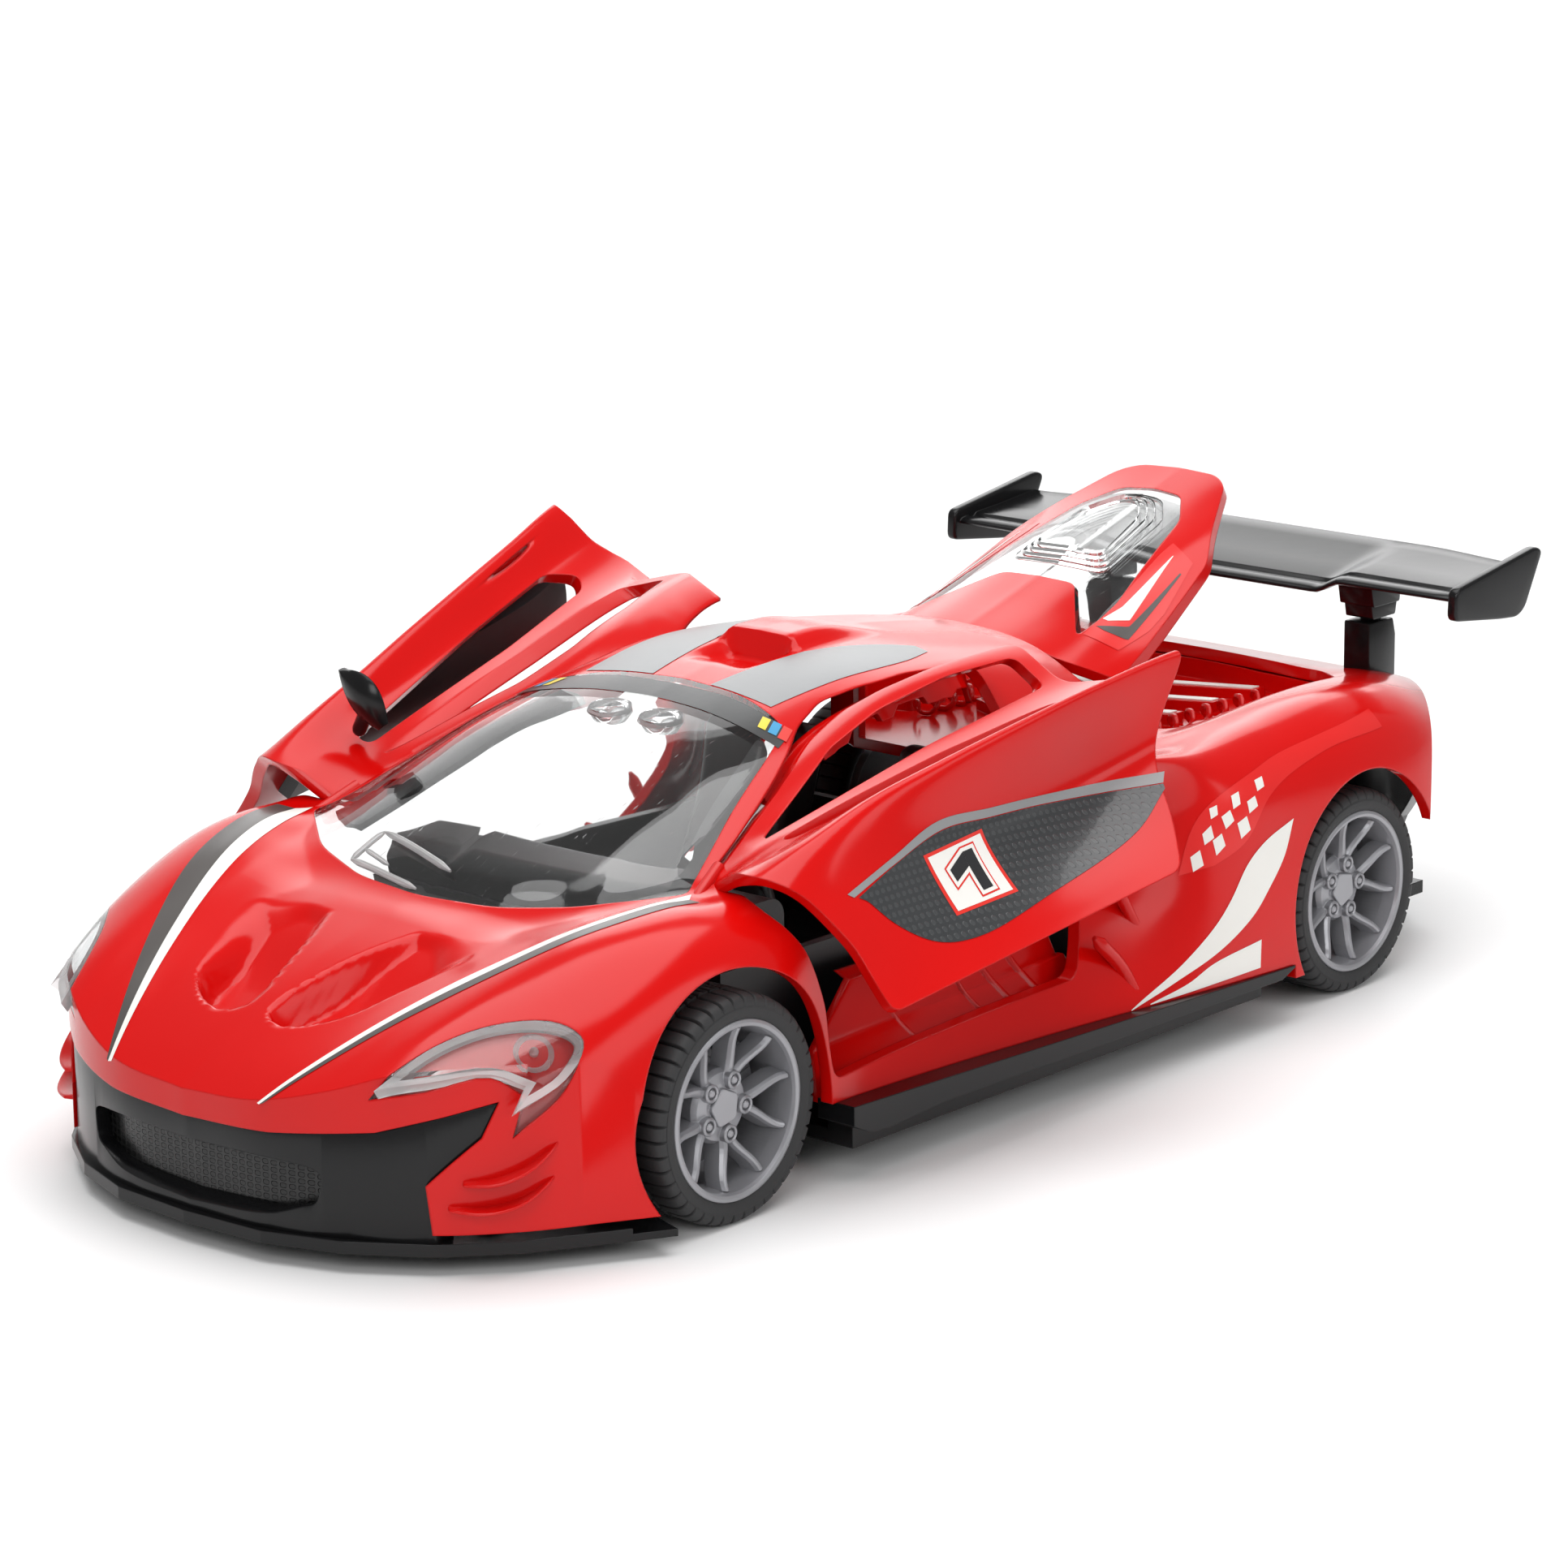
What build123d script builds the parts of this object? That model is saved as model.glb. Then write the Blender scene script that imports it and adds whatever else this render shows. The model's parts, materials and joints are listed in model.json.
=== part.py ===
from build123d import *
import math
import os

# A 1:24 pull back toy car with two dihedral doors, a lifting engine cover and a spring motor.
# Millimetres. +X is the car's front, +Y its left side, +Z up; the tyres stand on z = 0.
# The parts are drawn closed; the doors and the engine cover are then turned to their open rest pose.

# Driving dimensions
WHEELBASE = 111.25
FRONT_AXLE_X = 54.5
REAR_AXLE_X = FRONT_AXLE_X - WHEELBASE
TYRE_R = 12.5
RIM_R = 9.9
WHEEL_OUTER_Y = 40.9
WHEEL_WIDTH = 9.6
ARCH_R = 15.2
AXLE_R = 1.0
SKIN = 1.5
PANEL_GAP = 0.4
RUN_CLEARANCE = 0.06
PIN_R = 0.7
SCREW_R = 1.0

# Opening angles of the rest pose, in degrees
LEFT_DOOR_OPEN = 32.0
RIGHT_DOOR_OPEN = 42.0
COVER_OPEN = 31.0

# Hinge axes: the door's runs up the windscreen pillar, the cover's across the back of the roof
DOOR_HINGE_LOW = (46.3, 28.6, 32.7)
DOOR_HINGE_HIGH = (13.8, 20.2, 47.2)
DOOR_TIP_X = 45.0
COVER_HINGE_X = -33.6
COVER_HINGE_Z = 40.6

# Pull back motor: gear module, pressure angle and tooth counts, from the axle to the spring
GEAR_MODULE = 0.6
PRESSURE_ANGLE = math.radians(25)
PINION_TEETH = 12
IDLER_TEETH = 16
SPRING_TEETH = 26
IDLER_X = REAR_AXLE_X + GEAR_MODULE * (PINION_TEETH + IDLER_TEETH) / 2
SPRING_X = IDLER_X + GEAR_MODULE * (IDLER_TEETH + SPRING_TEETH) / 2

# Body surface: x station -> ten (y, z) points of the half section, from the centre line to the sill
BODY_STATIONS = {
    98.0: [(0, 15.2), (6, 15.4), (12, 15.6), (18.5, 15.6), (24.5, 14.8),
           (29, 12.6), (33, 10.5), (36, 8.6), (38, 6.6), (38.5, 4.5)],
    92.0: [(0, 19.2), (6, 19.3), (12, 19.5), (18.5, 19.8), (24.5, 19.6),
           (29.5, 17.4), (34, 14.0), (37, 10.6), (38.6, 7.4), (39, 4.5)],
    84.0: [(0, 23.2), (7, 23.2), (13.5, 23.4), (20, 24.2), (26, 24.4),
           (31.2, 22.0), (35.4, 17.6), (38.2, 12.6), (39.6, 8.2), (40, 4.5)],
    75.0: [(0, 26.6), (7.5, 26.5), (14.5, 26.5), (21, 27.6), (27.2, 28.3),
           (32.6, 26.8), (36.8, 22.8), (39.4, 16.8), (40.6, 10.4), (41, 4.5)],
    66.0: [(0, 29.0), (8, 28.9), (15.5, 28.8), (22, 29.9), (28.2, 31.2),
           (33.6, 30.2), (37.8, 27.0), (40.3, 21.4), (41.3, 13.4), (41.6, 4.5)],
    60.0: [(0, 30.4), (8.5, 30.2), (17, 29.9), (23.2, 30.9), (29, 32.3),
           (34, 31.8), (38, 29.2), (40.6, 24.0), (41.6, 15.0), (41.8, 4.5)],
    54.5: [(0, 33.4), (10, 33.0), (19, 32.0), (24.4, 31.6), (29.6, 32.8),
           (34.2, 32.5), (38, 30.2), (40.7, 25.4), (41.8, 15.6), (41.8, 4.5)],
    47.0: [(0, 36.8), (10, 36.4), (19, 35.2), (26, 33.4), (30.4, 32.6),
           (34.4, 32.5), (37.9, 30.6), (40.6, 26.0), (41.6, 15.6), (41.8, 4.5)],
    38.0: [(0, 40.5), (10, 40.1), (18.5, 38.9), (25, 36.8), (29, 34.6),
           (33.8, 33.9), (38.2, 31.4), (39.2, 25.5), (39.8, 15.0), (41.4, 5.0)],
    28.0: [(0, 44.0), (9.5, 43.7), (17.5, 42.6), (22.8, 40.6), (28.4, 35.8),
           (33.4, 34.7), (37.9, 32.9), (36.8, 26.0), (38.6, 14.0), (41.8, 5.5)],
    18.0: [(0, 46.4), (9, 46.1), (16.5, 45.0), (20.8, 43.2), (27.4, 36.6),
           (33, 35.2), (38.0, 33.6), (34.8, 26.0), (38.0, 14.0), (42.0, 5.5)],
    6.0: [(0, 48.0), (8.5, 47.7), (15.5, 46.8), (19.4, 45.2), (26.4, 37.2),
          (32.4, 35.7), (38.0, 34.2), (33.0, 26.0), (37.6, 14.5), (42.2, 5.5)],
    -6.0: [(0, 48.1), (8, 47.7), (14.7, 46.6), (18.4, 45.2), (25.6, 37.4),
           (32, 36.0), (38.0, 34.6), (31.8, 26.6), (37.6, 15.5), (42.4, 5.5)],
    -18.0: [(0, 46.8), (7.6, 46.4), (13.8, 45.3), (17.4, 43.8), (24.6, 36.6),
            (31.4, 35.6), (38.2, 34.6), (33.6, 27.6), (38.8, 17.0), (42.6, 5.5)],
    -30.0: [(0, 44.8), (7.2, 44.4), (13, 43.2), (17.5, 40.6), (24, 34.6),
            (30.6, 34.3), (37.2, 33.6), (40.2, 28.6), (41.4, 18.0), (42.8, 5.5)],
    -43.0: [(0, 41.4), (7, 40.9), (12.6, 39.4), (17, 36.6), (23.4, 33.0),
            (30, 34.7), (36, 34.7), (40.6, 30.6), (42.4, 20.0), (43.0, 5.5)],
    -56.75: [(0, 38.0), (6.6, 37.6), (11.8, 36.5), (16.4, 34.2), (22.6, 33.0),
             (29.4, 35.4), (35.4, 35.6), (40.4, 31.8), (42.8, 22.0), (43.0, 5.5)],
    -70.0: [(0, 34.8), (6.2, 34.5), (11.4, 33.8), (16.2, 33.0), (22.2, 33.0),
            (28.6, 34.7), (34.4, 34.4), (39.2, 30.8), (41.8, 22.0), (42.2, 6.0)],
    -82.0: [(0, 32.2), (6, 32.2), (12, 32.2), (17, 32.2), (22.4, 32.6),
            (28, 32.6), (32.8, 31.0), (36.4, 27.4), (38.4, 21.0), (38.8, 7.0)],
    -94.0: [(0, 29.6), (6, 29.6), (12, 29.6), (16.6, 29.6), (21.6, 29.5),
            (26.2, 28.8), (29.8, 27.0), (32.0, 23.8), (33.2, 18.6), (33.6, 8.0)],
}

# Half outlines; each is mirrored or extruded where it is used
NOSE_PLAN = [(64, 43.5), (72, 38.8), (80, 34), (86.6, 28), (91.8, 20), (94.9, 11), (95.6, 0)]
TAIL_PLAN = [(-62, 46), (-71, 41.5), (-77.5, 36.5), (-83.5, 31), (-88.8, 24.5), (-91.8, 14), (-92.5, 0)]
FASCIA_FRONT = [(0, 3), (27.8, 3), (27.2, 9.8), (29.2, 12.2), (31.4, 14.8), (32.6, 18.6),
                (28.8, 17.2), (23, 15.4), (12, 14.3), (0, 13.9)]
TAIL_FRONT = [(0, 6), (22, 6), (28, 14), (36, 20.5), (35.5, 23.5), (30.5, 26.2), (16, 27.6), (0, 27.6)]
TAIL_UNDER = [(-71.0, 0), (-71.0, 18), (-74, 21), (-96, 22.5), (-96, 0)]
WINDSCREEN_PLAN = [(60.8, 0), (59.6, 10), (56.0, 20), (49.0, 28.6), (46.2, 27.2), (36, 23.4),
                   (27, 20.6), (21.2, 18.2), (18.8, 10), (18.0, 0)]
DOOR_SIDE = [(38.6, 11.9), (-5.0, 13.0), (-9.8, 20.0), (-18.4, 35.9), (-12.0, 38.4), (-12.6, 45.2),
             (0, 46.2), (8, 46.1), (14, 45.5), (20, 43.9), (28, 40.5), (38, 36.2), (44, 33.8),
             (46.4, 32.2), (42.4, 27.0), (39.4, 20.0)]
WINDOW_SIDE = [(37.0, 34.9), (10, 37.6), (-9.2, 38.6), (-9.8, 43.2), (0, 44.2), (11, 43.6),
               (20, 41.6), (29, 38.0)]
DUCT_PLAN = [(36, 30.4), (10, 28.0), (-7, 27.4), (-10, 29.4), (-7, 32.4), (10, 32.8), (36, 32.4)]
COVER_PLAN = [(-33.2, 0), (-33.2, 13.9), (-36.0, 19.2), (-60.5, 15.4), (-66.0, 12.6),
              (-75.0, 8.4), (-76.8, 5.9), (-77.2, 0)]
COVER_WINDOW_PLAN = [(-48.0, 0), (-48.0, 5.6), (-38.6, 12.6), (-46, 12.4), (-66.0, 8.0), (-71.0, 4.6),
                     (-71.6, 0)]
BAY_PLAN = [(-30.0, 0), (-30.0, 14.6), (-34.0, 21.4), (-44, 25.6), (-60, 26.6), (-74, 25.4),
            (-79, 19), (-80, 0)]
HEADLIGHT = [(91.2, 23.4, 20.2), (84.6, 26.6, 24.2), (79.6, 29.8, 25.8), (74.6, 34.4, 25.6),
             (73.4, 36.6, 23.8), (76.6, 37.2, 20.4), (82.4, 35.4, 17.6), (80.6, 35.2, 20.6),
             (82.6, 32.4, 21.6), (87.6, 28.0, 20.8)]
LAMP_AIM = (0.42, 0.50, 0.757)
SILL_LINE = [(41.5, 9.6), (-41.5, 7.2)]
SCREW_PLACES = [(70, 18), (70, -18), (-84.5, 17), (-84.5, -17)]


def spline_points(points, steps):
    """Centripetal Catmull-Rom curve through the points, with a number of steps in each span."""
    first = [2 * a - b for a, b in zip(points[0], points[1])]
    last = [2 * a - b for a, b in zip(points[-1], points[-2])]
    chain = [first] + [list(p) for p in points] + [last]
    curve = []
    for i in range(1, len(chain) - 2):
        quad = chain[i - 1:i + 3]
        knots = [0.0]
        for a, b in zip(quad, quad[1:]):
            knots.append(knots[-1] + math.sqrt(math.dist(a, b)))
        for k in range(steps):
            curve.append(catmull_rom(quad, knots, knots[1] + (knots[2] - knots[1]) * k / steps))
    curve.append(list(points[-1]))
    return curve


def catmull_rom(quad, knots, t):
    """One point of the span between the two middle points of four."""
    level = quad
    for width in (1, 2, 1):
        if width == 1 and level is not quad:
            low, high = knots[1], knots[2]
            return [((high - t) * a + (t - low) * b) / (high - low) for a, b in zip(*level)]
        step = []
        for i in range(len(level) - 1):
            low, high = knots[i], knots[i + width]
            step.append([((high - t) * a + (t - low) * b) / (high - low)
                         for a, b in zip(level[i], level[i + 1])])
        level = step


def inset_rows(rows, depth):
    """Half section moved inwards by a depth, square to its own run."""
    moved = []
    for i, (y, z) in enumerate(rows):
        before = rows[max(i - 1, 0)]
        after = rows[min(i + 1, len(rows) - 1)]
        run = (after[0] - before[0], after[1] - before[1])
        length = math.hypot(*run)
        moved.append((y + depth * run[1] / length, z - depth * run[0] / length))
    moved[0] = (0.0, moved[0][1])
    return moved


def body_section(x, depth, lower_z):
    """Closed section face of the body at one station, inset by a depth."""
    rows = inset_rows(BODY_STATIONS[x], depth) if depth else BODY_STATIONS[x]
    if lower_z is not None:
        rows = rows[:-1] + [(rows[-1][0], lower_z)]
    half = spline_points(rows, 2)
    ring = [(x, -y, z) for y, z in reversed(half)] + [(x, y, z) for y, z in half[1:]]
    return Face(Wire([Spline(*ring), Line(ring[-1], ring[0])]))


def body_volume(depth, lower_z=None, shrink=0.0):
    """Solid inside the body surface, cut to the plan of the nose and the tail."""
    sections = [body_section(x, depth, lower_z) for x in sorted(BODY_STATIONS, reverse=True)]
    return loft(sections) & plan_prism(shrink)


def plan_prism(shrink):
    """Tall prism of the car's plan outline, pulled in at the nose and the tail."""
    nose = [(x - shrink, y) for x, y in NOSE_PLAN]
    tail = [(x + shrink, y) for x, y in TAIL_PLAN]
    front = nose + [(x, -y) for x, y in reversed(nose[:-1])]
    rear = [(x, -y) for x, y in tail] + [(x, y) for x, y in reversed(tail[:-1])]
    wire = Wire([Spline(*front), Line(front[-1], rear[0]), Spline(*rear), Line(rear[-1], front[0])])
    return extrude(Face(wire), 70, dir=(0, 0, 1))


def mirrored(half):
    """Closed outline of a half outline that starts and ends on the centre line."""
    return half + [(a, -b) for a, b in reversed(half) if abs(b) > 1e-6]


def mirrored_front(half):
    """The same for a half outline seen from the front, given as (y, z)."""
    return half + [(-a, b) for a, b in reversed(half) if abs(a) > 1e-6]


def grown(points, amount):
    """Outline moved outwards by an amount, or inwards if it is negative."""
    face = make_face(Polyline(*points, close=True))
    return offset(face, amount, kind=Kind.INTERSECTION) if amount else face


def plan_cut(points, grow=0.0, low=0.0, high=70.0):
    return Pos(0, 0, low) * extrude(grown(points, grow), high - low, dir=(0, 0, 1))


def side_cut(points, grow=0.0, inner=12.0, outer=60.0):
    """Prism along +Y of an outline given as (x, z)."""
    face = Plane.XZ * grown(points, grow)
    return Pos(0, inner, 0) * extrude(face, outer - inner, dir=(0, 1, 0))


def front_cut(points, grow=0.0, back=60.0, front=110.0):
    """Prism along +X of an outline given as (y, z)."""
    face = Plane.YZ * grown(points, grow)
    return Pos(back, 0, 0) * extrude(face, front - back, dir=(1, 0, 0))


def mirror_y(shape):
    return mirror(shape, about=Plane.XZ)


def both_sides(shape):
    return shape + mirror_y(shape)


def rod(radius, start, end):
    """Round bar between two points."""
    axis = Vector(*end) - Vector(*start)
    plane = Plane(origin=start, z_dir=axis)
    return extrude(plane * Circle(radius), axis.length, dir=axis)


def block(x, y, z):
    """Box from three (low, high) pairs."""
    size = [b - a for a, b in (x, y, z)]
    middle = [(a + b) / 2 for a, b in (x, y, z)]
    return Pos(*middle) * Box(*size)


def save(name, shape):
    shape.label = name
    export_step(shape, f"parts/{name}.step")


def gear(teeth, width, bore):
    """Involute spur gear about its own Z axis, with a tooth on +X and backlash on both flanks."""
    pitch_r = GEAR_MODULE * teeth / 2
    base_r = pitch_r * math.cos(PRESSURE_ANGLE)
    tip_r = pitch_r + 0.85 * GEAR_MODULE
    root_r = pitch_r - 1.2 * GEAR_MODULE
    backlash = 0.07
    half_angle = math.pi / (2 * teeth) - backlash / pitch_r
    pitch_roll = math.tan(PRESSURE_ANGLE) - PRESSURE_ANGLE
    points = []
    for k in range(teeth):
        centre = 2 * math.pi * k / teeth
        flank = [(root_r, half_angle + pitch_roll)]
        start_r = max(base_r, root_r + 0.05)
        for i in range(5):
            r = start_r + (tip_r - start_r) * i / 4
            turn = math.acos(min(1.0, base_r / r))
            flank.append((r, half_angle + pitch_roll - (math.tan(turn) - turn)))
        points += [(r, centre - a) for r, a in flank]
        points += [(r, centre + a) for r, a in reversed(flank)]
    outline = [(r * math.cos(a), r * math.sin(a)) for r, a in points]
    face = make_face(Polyline(*outline, close=True)) - Circle(bore)
    return extrude(face, width)


def on_axis(shape, x, y):
    """Shape about its own Z axis, turned to lie along +Y at wheel height."""
    return Pos(x, y, TYRE_R) * Rot(-90, 0, 0) * shape


def body_shell(skin, cavity):
    """Red body: the skin with its openings, the inner sills, the screw bosses and the hinge lugs."""
    shell = skin - front_cut(mirrored_front(FASCIA_FRONT))
    shell -= front_cut(mirrored_front(TAIL_FRONT), back=-110, front=-60)
    shell -= plan_cut(mirrored(WINDSCREEN_PLAN), low=24)
    shell -= plan_cut(mirrored(BAY_PLAN), low=24)
    (front_x, front_z), (rear_x, rear_z) = SILL_LINE
    below = side_cut([(front_x, 0), (front_x, front_z), (rear_x, rear_z), (rear_x, 0)], inner=30)
    shell -= both_sides(side_cut(DOOR_SIDE) + below + lamp_prism())
    shell -= both_sides(side_cut(TAIL_UNDER, inner=20))
    for x in (FRONT_AXLE_X, REAR_AXLE_X):
        shell -= both_sides(on_axis(Cylinder(ARCH_R, 26), x, 40))
    sill = block((-2, 35.5), (33.0, 34.2), (10.4, 17)) + block((-2, 35.5), (33.0, 40.6), (10.4, 11.6))
    shell += both_sides(sill)
    inside = Part() + [Pos(x, y, 18.55) * Cylinder(2.4, 23.9) for x, y in SCREW_PLACES]
    lug = block((-35.2, -27.0), (9.2, 10.6), (39.0, 40.2)) + block((-29.6, -27.0), (9.2, 10.6), (39, 45))
    shell += (inside + both_sides(lug)) & cavity
    for x, y in SCREW_PLACES:
        shell -= Pos(x, y, 10) * Cylinder(SCREW_R, 20)
    return largest(shell - cover_pin() - both_sides(door_pin(0)))


def cover_pin(grow=0.0):
    ends = [(COVER_HINGE_X, y, COVER_HINGE_Z) for y in (-13.4, 13.4)]
    return rod(PIN_R + grow, *ends)


def door_pin(grow):
    """Short pin on the left door's hinge axis, at the foot of the windscreen pillar."""
    low = Vector(*DOOR_HINGE_LOW)
    along = (Vector(*DOOR_HINGE_HIGH) - low).normalized()
    return rod(PIN_R + grow, low - along * 2.0, low + along * 4.0)


def lamp_prism():
    """Left headlight outline swept along the lamp's aim."""
    aim = Vector(*LAMP_AIM).normalized()
    centre = Vector(81, 32, 22)
    plane = Plane(origin=centre - aim * 4, z_dir=aim)
    flat = []
    for point in HEADLIGHT:
        local = plane.to_local_coords(Vector(*point))
        flat.append((local.X, local.Y))
    return extrude(plane * grown(flat, 0), 11, dir=aim)


def door_panel(skin):
    """Left door, closed: a skin with a window and the air duct in its shoulder."""
    panel = skin & side_cut(DOOR_SIDE, -PANEL_GAP)
    panel -= side_cut(WINDOW_SIDE, outer=34)
    panel -= plan_cut(DUCT_PLAN, low=29) + block((DOOR_TIP_X, 60), (12, 60), (20, 60))
    return largest(panel - door_pin(RUN_CLEARANCE))


def door_trim(cavity, core):
    """Black inner panel behind the left door's skin."""
    outline = [(35.6, 19.0), (-7.0, 19.4), (-8.4, 21.5), (-13.6, 31.5), (36.4, 31.5)]
    trim = (cavity - core) & side_cut(outline, inner=24)
    return largest(trim)


def largest(shape):
    return max(shape.solids(), key=lambda s: s.volume)


def turned(shape, start, end, degrees):
    """Shape turned about the line from start to end."""
    axis = Axis(start, Vector(*end) - Vector(*start))
    return shape.rotate(axis, degrees)


def open_door(shape, left):
    """Closed left door part, turned open, on the left or mirrored to the right."""
    angle = LEFT_DOOR_OPEN if left else RIGHT_DOOR_OPEN
    opened = turned(shape, DOOR_HINGE_LOW, DOOR_HINGE_HIGH, -angle)
    return opened if left else mirror_y(opened)


def open_cover(shape):
    start = (COVER_HINGE_X, 0, COVER_HINGE_Z)
    end = (COVER_HINGE_X, 1, COVER_HINGE_Z)
    return turned(shape, start, end, COVER_OPEN)


def engine_cover(skin, cavity):
    """Engine cover, closed: a tapering skin with a window and two hinge arms."""
    panel = skin & plan_cut(mirrored(COVER_PLAN), low=24)
    panel -= plan_cut(mirrored(COVER_WINDOW_PLAN), low=24)
    ring = rod(1.5, (COVER_HINGE_X, 11.0, COVER_HINGE_Z), (COVER_HINGE_X, 12.6, COVER_HINGE_Z))
    arm = ring + block((-37.5, -34.2), (11.0, 12.6), (39.6, 44.0))
    return largest(panel + (both_sides(arm) & cavity) - cover_pin(RUN_CLEARANCE))


def build_body_parts():
    outer = body_volume(0)
    cavity = body_volume(SKIN, 2.0, SKIN)
    core = body_volume(2 * SKIN + 0.1, 2.0, 2 * SKIN)
    skin = outer - cavity
    save("body_shell", body_shell(skin, cavity))
    glass = skin & plan_cut(mirrored(WINDSCREEN_PLAN), low=24)
    save("windscreen", largest(glass - both_sides(side_cut(DOOR_SIDE) + door_pin(0))))
    lens = largest(skin & lamp_prism())
    save("headlight_lens_left", lens)
    save("headlight_lens_right", mirror_y(lens))

    front_band = (plan_prism(0.5) - plan_prism(2.6)) & outer
    save("front_grille", largest(front_band & front_cut(mirrored_front(FASCIA_FRONT))))
    tail_cut = front_cut(mirrored_front(TAIL_FRONT), back=-110, front=-60)
    save("rear_valance", largest(front_band & tail_cut))

    door = door_panel(skin)
    trim = door_trim(cavity, core)
    for name, left in (("left", True), ("right", False)):
        save(f"{name}_door", open_door(door, left))
        save(f"{name}_door_trim", open_door(trim, left))
    stalk = rod(0.8, (36.4, 32.2, 34.2), (36.4, 32.6, 38.4)) - outer
    head = fillet(Box(3.0, 8.0, 4.6).edges(), 0.9)
    mirror_part = stalk + Pos(36.0, 33.6, 39.6) * Rot(0, 0, 12) * head
    save("right_mirror", open_door(mirror_part, False))

    save("engine_cover", open_cover(engine_cover(skin, cavity)))
    window = largest(skin & plan_cut(mirrored(COVER_WINDOW_PLAN), low=24))
    save("engine_cover_window", open_cover(window))
    save("cover_hinge_pin", cover_pin())
    save("door_hinge_pins", both_sides(door_pin(0)))
    build_wing(outer)
    build_bay(cavity)


def build_chassis():
    """Black base plate with the splitter, the side skirts and the axle saddles."""
    plate = block((-88, 80), (-29, 29), (3.6, 5.2)) + block((-38, 36), (-40, 40), (3.6, 5.2))
    nose = [(x + 0.4, y) for x, y in NOSE_PLAN[1:]]
    lip = [(62, 30), (66, 42.5)] + nose + [(x, -y) for x, y in reversed(nose[:-1])]
    lip += [(66, -42.5), (62, -30)]
    splitter = Pos(0, 0, 2.2) * extrude(make_face(Polyline(*lip, close=True)), 1.4)
    skirt = SILL_LINE + [(-38.5, 6.0), (24, 6.4), (33, 5.8), (36, 6.0), (40.6, 8.2)]
    rail = block((-38, 36), (37, 40.5), (3.6, 6.6))
    base = plate + splitter + both_sides(side_cut(skirt, inner=38.0, outer=43.2) + rail)
    for x in (FRONT_AXLE_X, REAR_AXLE_X):
        saddle = block((x - 3, x + 3), (21, 28.5), (5.2, 16.5))
        base += both_sides(saddle)
        base -= rod(AXLE_R + RUN_CLEARANCE, (x, -50, TYRE_R), (x, 50, TYRE_R))
        base -= both_sides(block((x - ARCH_R - 0.5, x + ARCH_R + 0.5), (29, 44), (3, 30)))
    base -= block((REAR_AXLE_X - 8, SPRING_X + 11), (-12, 12), (3, 8))
    for x, y in SCREW_PLACES:
        base += Pos(x, y, 5.9) * Cylinder(3.2, 1.4)
        base -= Pos(x, y, 5) * Cylinder(SCREW_R, 8) + Pos(x, y, 3.2) * Cylinder(2.3, 3.2)
    save("chassis_base", largest(base))


def build_wheels():
    """Two axles, each with two rims, two tyres and two brake disc inserts."""
    inner_y = WHEEL_OUTER_Y - WHEEL_WIDTH
    barrel = Cylinder(RIM_R, WHEEL_WIDTH) - Cylinder(RIM_R - 1.0, WHEEL_WIDTH)
    hub = Pos(0, 0, 1.4) * (Cylinder(3.2, 5.0) - Cylinder(AXLE_R, 5.0))
    spoke = Pos(6.2, 0, 3.4) * Box(7.4, 0.9, 1.2)
    spokes = Part() + [Rot(0, 0, 36 * k) * spoke for k in range(10)]
    rim = (barrel + hub + (spokes & Cylinder(RIM_R - 0.4, 20)))
    tread = Cylinder(TYRE_R, WHEEL_WIDTH - 0.6) - Cylinder(RIM_R, WHEEL_WIDTH)
    tyre = fillet(tread.edges().filter_by(GeomType.CIRCLE).group_by(SortBy.RADIUS)[-1], 1.2)
    disc = Pos(0, 0, -2.2) * (Cylinder(7.2, 0.8) - Cylinder(AXLE_R, 0.8))
    for axle, x in (("front", FRONT_AXLE_X), ("rear", REAR_AXLE_X)):
        half = inner_y + 7.5
        save(f"{axle}_axle", rod(AXLE_R, (x, -half, TYRE_R), (x, half, TYRE_R)))
        middle = WHEEL_OUTER_Y - WHEEL_WIDTH / 2
        for side, sign in (("left", 1), ("right", -1)):
            turn = Rot(-90 * sign, 0, 0)
            place = Pos(x, sign * middle, TYRE_R) * turn
            save(f"rim_{axle}_{side}", place * rim)
            save(f"tyre_{axle}_{side}", place * tyre)
        discs = Pos(x, middle, TYRE_R) * Rot(-90, 0, 0) * disc
        save(f"{axle}_brake_discs", both_sides(discs))


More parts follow.
